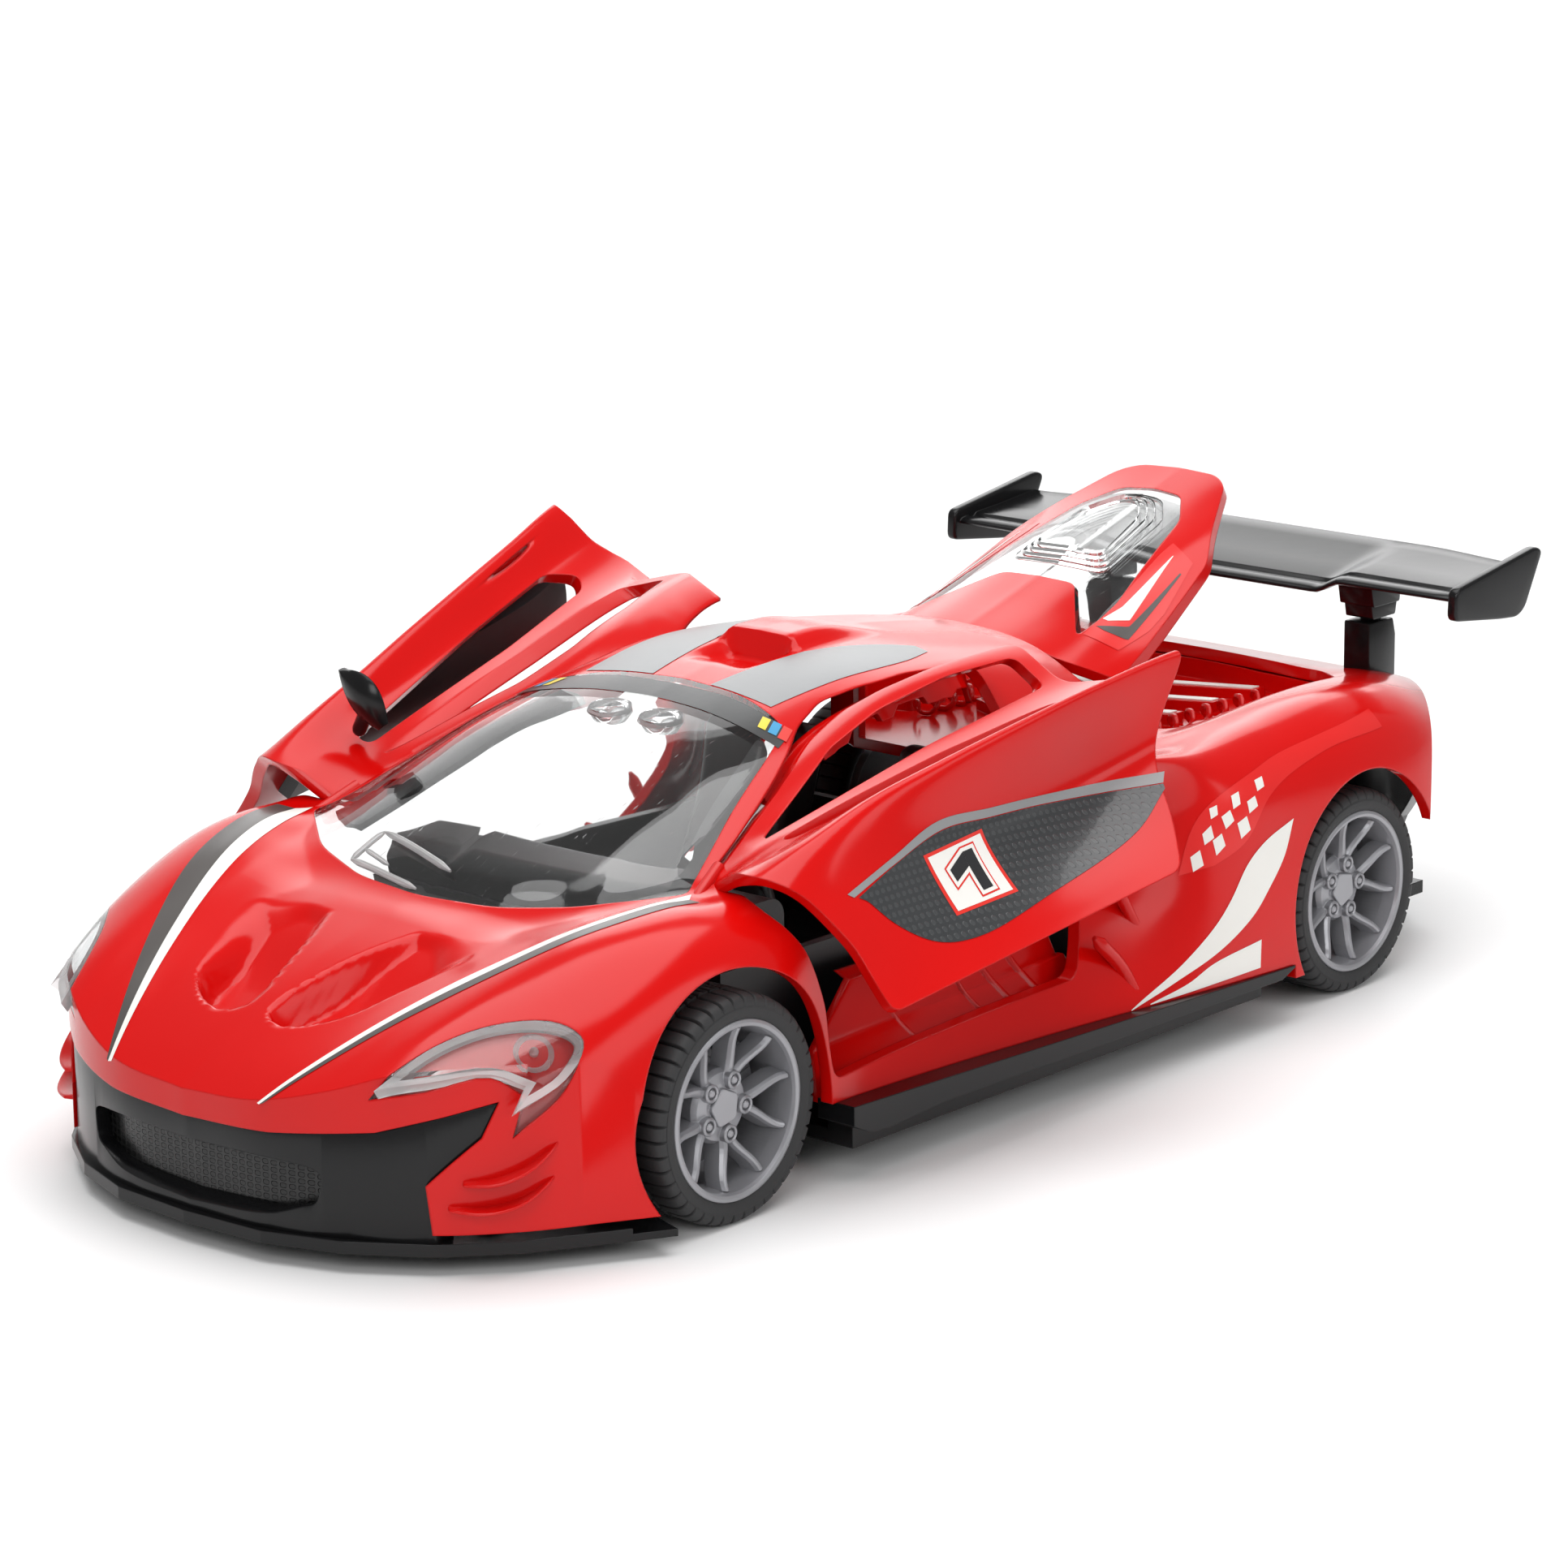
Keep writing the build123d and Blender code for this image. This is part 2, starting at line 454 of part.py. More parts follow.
def build_motor():
    """Spring motor round the rear axle: two housing halves, three gears, the spring and its shafts."""
    low_x, high_x = REAR_AXLE_X - 7, SPRING_X + 10
    shell = block((low_x, high_x), (-11, 11), (2.8, 23.2))
    room = block((low_x + 1.2, high_x - 1.2), (-9.8, 9.8), (3.8, 22.0))
    case = shell - room
    for x in (IDLER_X, SPRING_X):
        case -= rod(0.8, (x, -12, TYRE_R), (x, 12, TYRE_R))
    case -= rod(AXLE_R + RUN_CLEARANCE, (REAR_AXLE_X, -12, TYRE_R), (REAR_AXLE_X, 12, TYRE_R))
    split = TYRE_R
    lower = case & block((low_x - 1, high_x + 1), (-13, 13), (0, split))
    upper = case & block((low_x - 1, high_x + 1), (-13, 13), (split, 40))
    save("motor_housing_lower", lower)
    save("motor_housing_upper", upper)
    shafts = [rod(0.74, (x, -10.9, TYRE_R), (x, 10.9, TYRE_R)) for x in (IDLER_X, SPRING_X)]
    save("idler_shaft", shafts[0])
    save("spring_shaft", shafts[1])
    pinion = Rot(0, 0, 180 / PINION_TEETH) * gear(PINION_TEETH, 4.0, AXLE_R)
    save("axle_pinion", on_axis(pinion, REAR_AXLE_X, -2.0))
    save("idler_gear", on_axis(gear(IDLER_TEETH, 4.0, 0.74), IDLER_X, -2.0))
    offset_turn = 180 / SPRING_TEETH
    spring_gear = Rot(0, 0, offset_turn) * gear(SPRING_TEETH, 4.0, 0.74)
    drum = Pos(0, 0, 4.4) * (Cylinder(1.6, 4.8, align=(Align.CENTER, Align.CENTER, Align.MIN)) - Cylinder(0.74, 30))
    save("spring_gear", on_axis(spring_gear + Pos(0, 0, -0.4) * drum, SPRING_X, -2.0))
    coil = Cylinder(7.0, 3.6, align=(Align.CENTER, Align.CENTER, Align.MIN)) - Cylinder(1.7, 20)
    save("mainspring", on_axis(coil, SPRING_X, 2.6))


def build_cabin():
    """Black interior: tub, dashboard, two seats and the steering wheel."""
    tub = block((-24, 42), (-27, 27), (5.4, 22)) - block((-22.8, 40.6), (-25.8, 25.8), (6.8, 40))
    save("interior_tub", tub)
    wheel_place = Pos(24.5, 14, 22.5) * Rot(0, 68, 0)
    column = Pos(0, 0, 4.0) * Cylinder(0.8, 8.0)
    dash = block((30, 40.4), (-25.6, 25.6), (18, 28))
    dash = fillet(dash.edges().filter_by(Axis.Y), 2.2)
    save("dashboard", dash - wheel_place * column)
    cushion = fillet(block((-6, 16), (7, 23), (6.8, 14)).edges(), 1.6)
    back = Pos(-9.5, 15, 21.5) * Rot(0, -18, 0) * fillet(Box(6.4, 15, 26).edges(), 1.8)
    seat = cushion + back
    save("seat_left", seat)
    save("seat_right", mirror_y(seat))
    spokes = [Rot(0, 0, 120 * k) * Pos(2.4, 0, 0) * Box(4.4, 1.0, 0.8) for k in range(3)]
    save("steering_wheel", wheel_place * (Torus(4.6, 0.6) + Cylinder(1.2, 1.2) + spokes + column))


def build_bay(cavity):
    """Engine bay tray under the cover, with a row of intake trumpets and chevron ribs."""
    wall = plan_cut(mirrored(BAY_PLAN), 1.2, 27.0, 50) - plan_cut(mirrored(BAY_PLAN), 0, 28.4, 50)
    wall -= block((-36, -26), (-14, 14), (28.4, 50))
    tray = wall & cavity
    for k in range(4):
        x = -44.0 - 8.5 * k
        rib = [(x, 0), (x - 5, 12), (x - 7.5, 12), (x - 2.5, 0)]
        tray += plan_cut(mirrored(rib), 0, 28.4, 29.8)
    tray += [Pos(-39 - 5.2 * k, 19.5 * s, 29.4) * Cylinder(1.7, 2.0) for k in range(7) for s in (-1, 1)]
    save("engine_bay_tray", tray)


def build_wing(outer):
    """Rear wing: a blade with endplates on two struts that stand on the body."""
    chord = [(-78.4, 43.8), (-80.5, 45.2), (-87, 45.4), (-93.5, 44.8), (-95.6, 44.0), (-93.5, 43.6),
             (-87, 43.9), (-80.5, 43.6)]
    blade = side_cut(chord, 0, -38.8, 38.8)
    plate = [(-77.4, 42.3), (-77.6, 45.7), (-94.0, 48.4), (-96.0, 47.6), (-95.0, 42.6), (-92.0, 40.9)]
    ends = both_sides(side_cut(plate, 0, 38.8, 40.2))
    save("wing_blade", blade + ends)
    foot = block((-89.6, -84.2), (19.0, 22.8), (29.0, 38.0))
    neck = rod(1.3, (-87, 20.9, 38.0), (-87, 20.9, 40.4))
    head = block((-89.8, -84.2), (18.4, 23.4), (40.4, 43.7)) - side_cut(chord, inner=-38.8, outer=38.8)
    strut = (foot - outer) + neck + head
    save("wing_strut_left", strut)
    save("wing_strut_right", mirror_y(strut))


def build_fasteners():
    """Four screws from the base plate into the body's bosses."""
    screws = []
    for x, y in SCREW_PLACES:
        screws.append(Pos(x, y, 4.2) * Cylinder(2.2, 1.0) + Pos(x, y, 7.9) * Cylinder(SCREW_R, 7.2))
    save("chassis_screws", Compound(children=screws))


os.makedirs("parts", exist_ok=True)
build_body_parts()
build_chassis()
build_wheels()
build_motor()
build_cabin()
build_fasteners()
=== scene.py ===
import bmesh
import bpy
import json
import math
import numpy as np
from mathutils import Matrix, Vector
from mathutils.bvhtree import BVHTree


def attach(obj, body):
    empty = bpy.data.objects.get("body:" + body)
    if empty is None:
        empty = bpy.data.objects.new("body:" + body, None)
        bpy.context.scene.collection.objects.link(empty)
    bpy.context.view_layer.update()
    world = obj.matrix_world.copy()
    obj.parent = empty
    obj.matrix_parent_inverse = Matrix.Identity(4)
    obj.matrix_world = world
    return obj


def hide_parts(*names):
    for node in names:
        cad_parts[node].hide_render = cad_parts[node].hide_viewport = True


# Looks of the pull back car. Lengths are in millimetres until a mesh is made; MM turns them into metres.
MM = 0.001
SKIN = 1.5

# Sections of the body, front to rear: x gives (y, z) points from the centre line down to the sill
STATIONS = {
    98.0: [(0, 15.2), (6, 15.4), (12, 15.6), (18.5, 15.6), (24.5, 14.8),
           (29, 12.6), (33, 10.5), (36, 8.6), (38, 6.6), (38.5, 4.5)],
    92.0: [(0, 19.2), (6, 19.3), (12, 19.5), (18.5, 19.8), (24.5, 19.6),
           (29.5, 17.4), (34, 14.0), (37, 10.6), (38.6, 7.4), (39, 4.5)],
    84.0: [(0, 23.2), (7, 23.2), (13.5, 23.4), (20, 24.2), (26, 24.4),
           (31.2, 22.0), (35.4, 17.6), (38.2, 12.6), (39.6, 8.2), (40, 4.5)],
    75.0: [(0, 26.6), (7.5, 26.5), (14.5, 26.5), (21, 27.6), (27.2, 28.3),
           (32.6, 26.8), (36.8, 22.8), (39.4, 16.8), (40.6, 10.4), (41, 4.5)],
    66.0: [(0, 29.0), (8, 28.9), (15.5, 28.8), (22, 29.9), (28.2, 31.2),
           (33.6, 30.2), (37.8, 27.0), (40.3, 21.4), (41.3, 13.4), (41.6, 4.5)],
    60.0: [(0, 30.4), (8.5, 30.2), (17, 29.9), (23.2, 30.9), (29, 32.3),
           (34, 31.8), (38, 29.2), (40.6, 24.0), (41.6, 15.0), (41.8, 4.5)],
    54.5: [(0, 33.4), (10, 33.0), (19, 32.0), (24.4, 31.6), (29.6, 32.8),
           (34.2, 32.5), (38, 30.2), (40.7, 25.4), (41.8, 15.6), (41.8, 4.5)],
    47.0: [(0, 36.8), (10, 36.4), (19, 35.2), (26, 33.4), (30.4, 32.6),
           (34.4, 32.5), (37.9, 30.6), (40.6, 26.0), (41.6, 15.6), (41.8, 4.5)],
    38.0: [(0, 40.5), (10, 40.1), (18.5, 38.9), (25, 36.8), (29, 34.6),
           (33.6, 33.3), (38.2, 32.2), (39.2, 25.5), (39.8, 15.0), (41.4, 5.0)],
    28.0: [(0, 44.0), (9.5, 43.7), (17.5, 42.6), (22.8, 40.6), (28.2, 35.9),
           (33.0, 33.9), (37.9, 34.0), (36.8, 26.0), (38.6, 14.0), (41.8, 5.5)],
    18.0: [(0, 46.4), (9, 46.1), (16.5, 45.0), (20.8, 43.2), (27.2, 36.8),
           (32.4, 34.2), (38.0, 34.7), (34.8, 26.0), (38.0, 14.0), (42.0, 5.5)],
    6.0: [(0, 48.0), (8.5, 47.7), (15.5, 46.8), (19.4, 45.2), (26.2, 37.4),
          (32, 34.5), (38.0, 35.3), (33.0, 26.0), (37.6, 14.5), (42.2, 5.5)],
    -6.0: [(0, 48.1), (8, 47.7), (14.7, 46.6), (18.4, 45.2), (25.4, 37.6),
           (31.8, 34.8), (38.0, 35.7), (31.8, 26.6), (37.6, 15.5), (42.4, 5.5)],
    -18.0: [(0, 46.8), (7.6, 46.4), (13.8, 45.3), (17.4, 43.8), (24.4, 36.8),
            (31.2, 34.9), (38.2, 35.6), (33.6, 27.6), (38.8, 17.0), (42.6, 5.5)],
    -30.0: [(0, 44.8), (7.2, 44.4), (13, 43.2), (17.5, 40.6), (24, 34.6),
            (30.6, 34.0), (37.2, 34.1), (40.2, 28.6), (41.4, 18.0), (42.8, 5.5)],
    -43.0: [(0, 41.4), (7, 40.9), (12.6, 39.4), (17, 36.6), (23.4, 33.0),
            (30, 34.7), (36, 34.7), (40.6, 30.6), (42.4, 20.0), (43.0, 5.5)],
    -56.75: [(0, 38.0), (6.6, 37.6), (11.8, 36.5), (16.4, 34.2), (22.6, 33.0),
             (29.4, 35.4), (35.4, 35.6), (40.4, 31.8), (42.8, 22.0), (43.0, 5.5)],
    -70.0: [(0, 34.8), (6.2, 34.5), (11.4, 33.8), (16.2, 33.0), (22.2, 33.0),
            (28.6, 34.7), (34.4, 34.4), (39.2, 30.8), (41.8, 22.0), (42.2, 6.0)],
    -82.0: [(0, 32.2), (6, 32.2), (12, 32.2), (17, 32.2), (22.4, 32.6),
            (28, 32.6), (32.8, 31.0), (36.4, 27.4), (38.4, 21.0), (38.8, 7.0)],
    -94.0: [(0, 29.6), (6, 29.6), (12, 29.6), (16.6, 29.6), (21.6, 29.5),
            (26.2, 28.8), (29.8, 27.0), (32.0, 23.8), (33.2, 18.6), (33.6, 8.0)],
}

# Outlines: *_PLAN is (x, y) from above, *_FRONT is (y, z), *_SIDE and *_UNDER are (x, z)
NOSE_PLAN = [(64, 43.5), (72, 38.8), (80, 34), (86.6, 28), (91.8, 20), (94.9, 11), (95.6, 0)]
TAIL_PLAN = [(-62, 46), (-71, 41.5), (-77.5, 36.5), (-83.5, 31), (-88.8, 24.5), (-91.8, 14), (-92.5, 0)]
FASCIA_FRONT = [(0, 3), (27.8, 3), (27.2, 9.8), (29.2, 12.2), (31.4, 14.8), (32.6, 18.6),
                (28.8, 17.2), (23, 15.4), (12, 14.3), (0, 13.9)]
TAIL_FRONT = [(0, 6), (22, 6), (28, 14), (36, 20.5), (35.5, 23.5), (30.5, 26.2), (16, 27.6), (0, 27.6)]
TAIL_UNDER = [(-66.0, -4), (-66.0, 16), (-71.0, 19), (-74, 21), (-100, 22.7), (-100, -4)]
WINDSCREEN_PLAN = [(60.8, 0), (59.6, 10), (56.0, 20), (49.0, 28.6), (46.2, 27.2), (36, 23.4),
                   (27, 20.6), (21.2, 18.2), (18.8, 10), (18.0, 0)]
DOOR_SIDE = [(38.6, 11.9), (-5.0, 13.0), (-9.8, 20.0), (-18.4, 35.9), (-12.0, 38.4), (-12.6, 45.2),
             (0, 46.2), (8, 46.1), (14, 45.5), (20, 43.9), (28, 40.5), (38, 36.2), (44, 33.8),
             (46.4, 32.2), (42.4, 27.0), (39.4, 20.0)]
WINDOW_SIDE = [(37.0, 34.9), (10, 37.6), (-9.2, 38.6), (-9.8, 43.2), (0, 44.2), (11, 43.6),
               (20, 41.6), (29, 38.0)]
DUCT_PLAN = [(36, 30.4), (10, 28.0), (-7, 27.4), (-10, 29.4), (-7, 32.4), (10, 32.8), (36, 32.4)]
COVER_PLAN = [(-33.2, 0), (-33.2, 13.9), (-36.0, 19.2), (-60.5, 15.4), (-66.0, 12.6),
              (-75.0, 8.4), (-76.8, 5.9), (-77.2, 0)]
COVER_WINDOW_PLAN = [(-48.0, 0), (-48.0, 5.6), (-38.6, 12.6), (-46, 12.4), (-66.0, 8.0), (-71.0, 4.6),
                     (-71.6, 0)]
BAY_PLAN = [(-30.0, 0), (-30.0, 14.6), (-34.0, 21.4), (-44, 25.6), (-60, 26.6), (-74, 25.4),
            (-79, 19), (-80, 0)]
HEADLIGHT = [(91.2, 23.4, 20.2), (84.6, 26.6, 24.2), (79.6, 29.8, 25.8), (74.6, 34.4, 25.6),
             (73.4, 36.6, 23.8), (76.6, 37.2, 20.4), (82.4, 35.4, 17.6), (80.6, 35.2, 20.6),
             (82.6, 32.4, 21.6), (87.6, 28.0, 20.8)]
LAMP_AIM = Vector((0.42, 0.50, 0.757)).normalized()
SILL_LINE = [(41.5, 9.6), (-41.5, 7.2)]
HINGE_LOW = Vector((46.3, 28.6, 32.7))
HINGE_HIGH = Vector((13.8, 20.2, 47.2))
COVER_HINGE = Vector((-33.6, 0, 40.6))
LEFT_OPEN, RIGHT_OPEN, COVER_OPEN = 32, 42, 31
FRONT_X, REAR_X, TYRE_R, ARCH_R = 54.5, -56.75, 12.5, 15.2
TOP = 80  # above the whole car, where rays and cutters start or end
# Hood vent outline (x, y) on the left, and the mesh oval at its front end
VENT = [(67.2, 6.6), (72, 4.6), (78, 2.7), (82.6, 1.6), (85.0, 2.1), (86.0, 4.6), (85.2, 8.0),
        (82.6, 11.6), (78.4, 14.0), (73.5, 16.2), (68.6, 17.0), (66.8, 12.0)]


# ---------------------------------------------------------------- curves and outlines
def crom(points, steps):
    """Centripetal Catmull-Rom through the points; steps is a number or one number per span."""
    p = np.asarray(points, float)
    p = np.vstack([2 * p[0] - p[1], p, 2 * p[-1] - p[-2]])
    out = []
    for i in range(1, len(p) - 2):
        a, b, c, d = p[i - 1:i + 3]
        n = steps[i - 1] if hasattr(steps, "__len__") else steps
        t0 = 0.0
        t1 = t0 + math.sqrt(np.linalg.norm(b - a))
        t2 = t1 + math.sqrt(np.linalg.norm(c - b))
        t3 = t2 + math.sqrt(np.linalg.norm(d - c))
        t = np.linspace(t1, t2, n + 1)[:-1, None]
        ab = ((t1 - t) * a + (t - t0) * b) / (t1 - t0)
        bc = ((t2 - t) * b + (t - t1) * c) / (t2 - t1)
        cd = ((t3 - t) * c + (t - t2) * d) / (t3 - t2)
        abc = ((t2 - t) * ab + (t - t0) * bc) / (t2 - t0)
        bcd = ((t3 - t) * bc + (t - t1) * cd) / (t3 - t1)
        out.append(((t2 - t) * abc + (t - t1) * bcd) / (t2 - t1))
    return np.vstack(out + [p[-2:-1]])


def mirrored(half, front=False):
    """Closed outline from a half that starts and ends on the centre line."""
    if front:
        return half + [(-a, b) for a, b in reversed(half) if abs(a) > 1e-6]
    return half + [(a, -b) for a, b in reversed(half) if abs(b) > 1e-6]


def grown(points, amount):
    """Polygon moved outwards along its corners' mean normals."""
    p = np.asarray(points, float)
    area = sum(a[0] * b[1] - b[0] * a[1] for a, b in zip(p, np.roll(p, -1, 0)))
    out = []
    for i in range(len(p)):
        e0 = p[i] - p[i - 1]
        e1 = p[(i + 1) % len(p)] - p[i]
        n0 = np.array((e0[1], -e0[0])) / np.linalg.norm(e0)
        n1 = np.array((e1[1], -e1[0])) / np.linalg.norm(e1)
        n = (n0 + n1) / max(1 + n0 @ n1, 0.4)
        out.append(p[i] + n * amount * (1 if area > 0 else -1))
    return [tuple(q) for q in out]


def rounded(points, radius):
    """Closed polygon with its corners rounded."""
    p = [np.asarray(q, float) for q in points]
    out = []
    for i, q in enumerate(p):
        a, b = p[i - 1], p[(i + 1) % len(p)]
        la, lb = np.linalg.norm(a - q), np.linalg.norm(b - q)
        ra, rb = min(radius, la * 0.45), min(radius, lb * 0.45)
        s, e = q + (a - q) / la * ra, q + (b - q) / lb * rb
        for t in np.linspace(0, 1, 5):
            out.append(tuple((1 - t) ** 2 * s + 2 * t * (1 - t) * q + t * t * e))
    return out


def inside_distance(x, y, outline):
    """Distance from points to an outline, positive inside it."""
    p = np.asarray(outline, float)
    best = np.full(x.shape, 1e9)
    odd = np.zeros(x.shape, bool)
    for (ax, ay), (bx, by) in zip(p, np.roll(p, -1, 0)):
        dx, dy = bx - ax, by - ay
        t = np.clip(((x - ax) * dx + (y - ay) * dy) / (dx * dx + dy * dy), 0, 1)
        best = np.minimum(best, np.hypot(x - ax - t * dx, y - ay - t * dy))
        crosses = (ay > y) != (by > y)
        with np.errstate(divide="ignore", invalid="ignore"):
            odd ^= crosses & (x < (bx - ax) * (y - ay) / (by - ay) + ax)
    return np.where(odd, best, -best)


def resample(points, n, curved=True):
    """Points evenly spaced along a curve or a polyline."""
    p = crom(points, 8) if curved and len(points) > 2 else np.asarray(points, float)
    s = np.concatenate([[0], np.cumsum(np.linalg.norm(np.diff(p, axis=0), axis=1))])
    t = np.linspace(0, s[-1], n)
    return np.array([[np.interp(q, s, p[:, k]) for k in range(p.shape[1])] for q in t])


def polar(radius, angle):
    return radius * math.cos(angle), radius * math.sin(angle)


def ease(t):
    t = np.clip(t, 0, 1)
    return t * t * (3 - 2 * t)


# ---------------------------------------------------------------- mesh helpers
def linked(name, data):
    obj = bpy.data.objects.new(name, data)
    bpy.context.scene.collection.objects.link(obj)
    return obj


def make(name, verts, faces):
    mesh = bpy.data.meshes.new(name)
    mesh.from_pydata([tuple(np.asarray(v, float) * MM) for v in verts], [], faces)
    mesh.validate()
    return linked(name, mesh)


def fix_normals(obj):
    bm = bmesh.new()
    bm.from_mesh(obj.data)
    bmesh.ops.recalc_face_normals(bm, faces=bm.faces)
    bm.to_mesh(obj.data)
    bm.free()
    return obj


def grid(points, wrap_u=False, wrap_v=False):
    """Vertices and quads of a grid of points."""
    n, m = points.shape[:2]
    faces = []
    for i in range(n if wrap_u else n - 1):
        for j in range(m if wrap_v else m - 1):
            a, b = i * m + j, i * m + (j + 1) % m
            c, d = ((i + 1) % n) * m + (j + 1) % m, ((i + 1) % n) * m + j
            faces.append((a, b, c, d))
    return points.reshape(-1, 3), faces


def tube_mesh(name, rows):
    """Closed solid from a list of closed rings with the same number of points."""
    g = np.asarray(rows, float)
    verts, faces = grid(g, wrap_v=True)
    m = g.shape[1]
    faces.append(tuple(range(m)))
    faces.append(tuple(len(verts) - m + k for k in range(m))[::-1])
    return fix_normals(make(name, verts, faces))


def hoop(name, rows):
    """Closed loop of solid section; each row is one closed section."""
    verts, faces = grid(np.array([[tuple(v) for v in row] for row in rows]), wrap_u=True, wrap_v=True)
    return fix_normals(make(name, verts, faces))


def lathe(name, profile, steps=120, shift=None):
    """Closed profile of (radius, height) turned about Z; shift(k, r, h) may move the radius."""
    return hoop(name, [[(*polar(r + (shift(k, r, h) if shift else 0), 2 * math.pi * k / steps), h)
                        for r, h in profile] for k in range(steps)])


def prism(outline, along, low, high):
    """Solid swept along an axis; the outline is (x, y), (x, z) or (y, z)."""
    rows = []
    for h in (low, high):
        if along == "z":
            rows.append([(a, b, h) for a, b in outline])
        elif along == "y":
            rows.append([(a, h, b) for a, b in outline])
        else:
            rows.append([(h, a, b) for a, b in outline])
    return tube_mesh("cutter", rows)


def sweep(outline3, direction, low, high):
    d = np.asarray(direction, float)
    return tube_mesh("cutter", [[np.asarray(p) + d * h for p in outline3] for h in (low, high)])


def regular(count, radius, turn=0.0):
    """Corners of a regular polygon."""
    return [polar(radius, 2 * math.pi * k / count + turn) for k in range(count)]


def flip(obj, name=None):
    """Mirrored copy across the centre plane."""
    mesh = obj.data.copy()
    mesh.transform(Matrix.Scale(-1, 4, (0, 1, 0)))
    mesh.flip_normals()
    return linked(name or obj.name + "_m", mesh)


def applied(obj, modifier):
    """Mesh of the object with its modifier applied; the modifier is removed."""
    bpy.context.view_layer.update()
    mesh = bpy.data.meshes.new_from_object(obj.evaluated_get(bpy.context.evaluated_depsgraph_get()))
    obj.modifiers.remove(modifier)
    return mesh


def boolean(obj, cutters, operation="DIFFERENCE"):
    """Applies cutters one after another and removes them."""
    for cutter in cutters:
        before = len(obj.data.polygons)
        for solver in ("MANIFOLD", "EXACT"):
            mod = obj.modifiers.new("cut", "BOOLEAN")
            mod.operation, mod.object, mod.solver = operation, cutter, solver
            mesh = applied(obj, mod)
            if len(mesh.polygons) > 0 and (len(mesh.polygons) != before or solver == "EXACT"):
                break
        obj.data = mesh
        bpy.data.objects.remove(cutter)
    return obj


def copy_of(obj, name):
    return linked(name, obj.data.copy())


def both(cutter):
    return [cutter, flip(cutter)]


def join(objs, name):
    """One object from several, in their own places."""
    verts, faces, mats, slots, base = [], [], [], [], 0
    for o in objs:
        for m in o.data.materials:
            if m not in mats:
                mats.append(m)
        w = o.matrix_world
        verts += [w @ v.co for v in o.data.vertices]
        for p in o.data.polygons:
            faces.append(tuple(base + i for i in p.vertices))
            used = o.data.materials[p.material_index] if len(o.data.materials) else None
            slots.append(mats.index(used) if used else 0)
        base = len(verts)
    mesh = bpy.data.meshes.new(name)
    mesh.from_pydata(verts, [], faces)
    for m in mats:
        mesh.materials.append(m)
    mesh.polygons.foreach_set("material_index", slots)
    out = linked(name, mesh)
    for o in objs:
        bpy.data.objects.remove(o)
    return out


def smooth(obj, degrees=35):
    obj.data.shade_smooth()
    obj.data.set_sharp_from_angle(angle=math.radians(degrees))
    return obj


def bevelled(obj, width, segments=2):
    mod = obj.modifiers.new("edge", "BEVEL")
    mod.width, mod.segments, mod.limit_method = width * MM, segments, "ANGLE"
    mod.angle_limit, mod.harden_normals = math.radians(32), False
    obj.data = applied(obj, mod)
    return obj


def placed(obj, x, y, z):
    obj.data.transform(Matrix.Translation(Vector((x, y, z)) * MM))
    return obj


def paint(obj, material):
    obj.data.materials.clear()
    obj.data.materials.append(material)
    return obj


# ---------------------------------------------------------------- body surface
def features(g):
    """Recesses and the roof scoop, pressed into the grid of surface points."""
    x, y, z = g[..., 0], np.abs(g[..., 1]), g[..., 2].copy()
    d = inside_distance(x, y, crom(VENT + VENT[:1], 4)[:-1])
    ramp = 0.25 + 0.75 * ease((x - 66.5) / 12.0)
    soft = 1.5 + 4.4 * ease((y - 9) / 6.0) * ease((84 - x) / 8.0)
    top = z > 18
    z -= np.where(top & (x > 60), 3.9 * ramp * ease(d / soft), 0)
    scoop = (x > -14) & (x < 17) & (y < 9) & (z > 40)
    across = ease((5.2 - y) / 1.6)
    lip = 1.7 * ease((5.6 - x) / 0.9) * ease((x + 13) / 14) * ease((6.6 - y) / 2.6)
    dip = -1.9 * ease((13.5 - x) / 7.0) * ease((x - 4.7) / 0.9) * across
    z += np.where(scoop, lip + dip, 0)
    out = g.copy()
    out[..., 2] = z
    return out


def inset_rows(rows, depth):
    """Section of the body moved inwards by a depth."""
    moved = []
    for i, (y, z) in enumerate(rows):
        a, b = rows[max(i - 1, 0)], rows[min(i + 1, len(rows) - 1)]
        run = (b[0] - a[0], b[1] - a[1])
        length = math.hypot(*run)
        moved.append((y + depth * run[1] / length, z - depth * run[0] / length))
    moved[0] = (0.0, moved[0][1])
    return moved


XS = sorted(STATIONS, reverse=True)


def surface(depth=0.0, lower=None, detail=True):
    """Full width grid of body surface points, front to back."""
    rows = []
    for x in XS:
        half = inset_rows(STATIONS[x], depth) if depth else list(STATIONS[x])
        if lower is not None:
            half = half[:-1] + [(half[-1][0], lower)]
        rows.append(crom([(x, y, z) for y, z in half], 14))
    rows = np.array(rows)
    spans = [max(4, int(round(abs(a - b) / (0.42 if a > 70 else 0.6 if 20 > a > -6 else 0.95))))
             for a, b in zip(XS, XS[1:])]
    g = np.array([crom(rows[:, k], spans) for k in range(rows.shape[1])]).transpose(1, 0, 2)
    if detail:
        g = features(g)
    left = g[:, :0:-1] * (1, -1, 1)
    return np.concatenate([left, g], axis=1)


def closed_volume(name, g):
    """Solid under a grid of surface points, closed along its lower edge and at both ends."""
    n, m = g.shape[:2]
    verts, faces = grid(g)
    for i in range(n - 1):
        faces.append((i * m, (i + 1) * m, (i + 1) * m + m - 1, i * m + m - 1))
    faces.append(tuple(range(m)))
    faces.append(tuple((n - 1) * m + k for k in range(m))[::-1])
    return fix_normals(make(name, verts, faces))


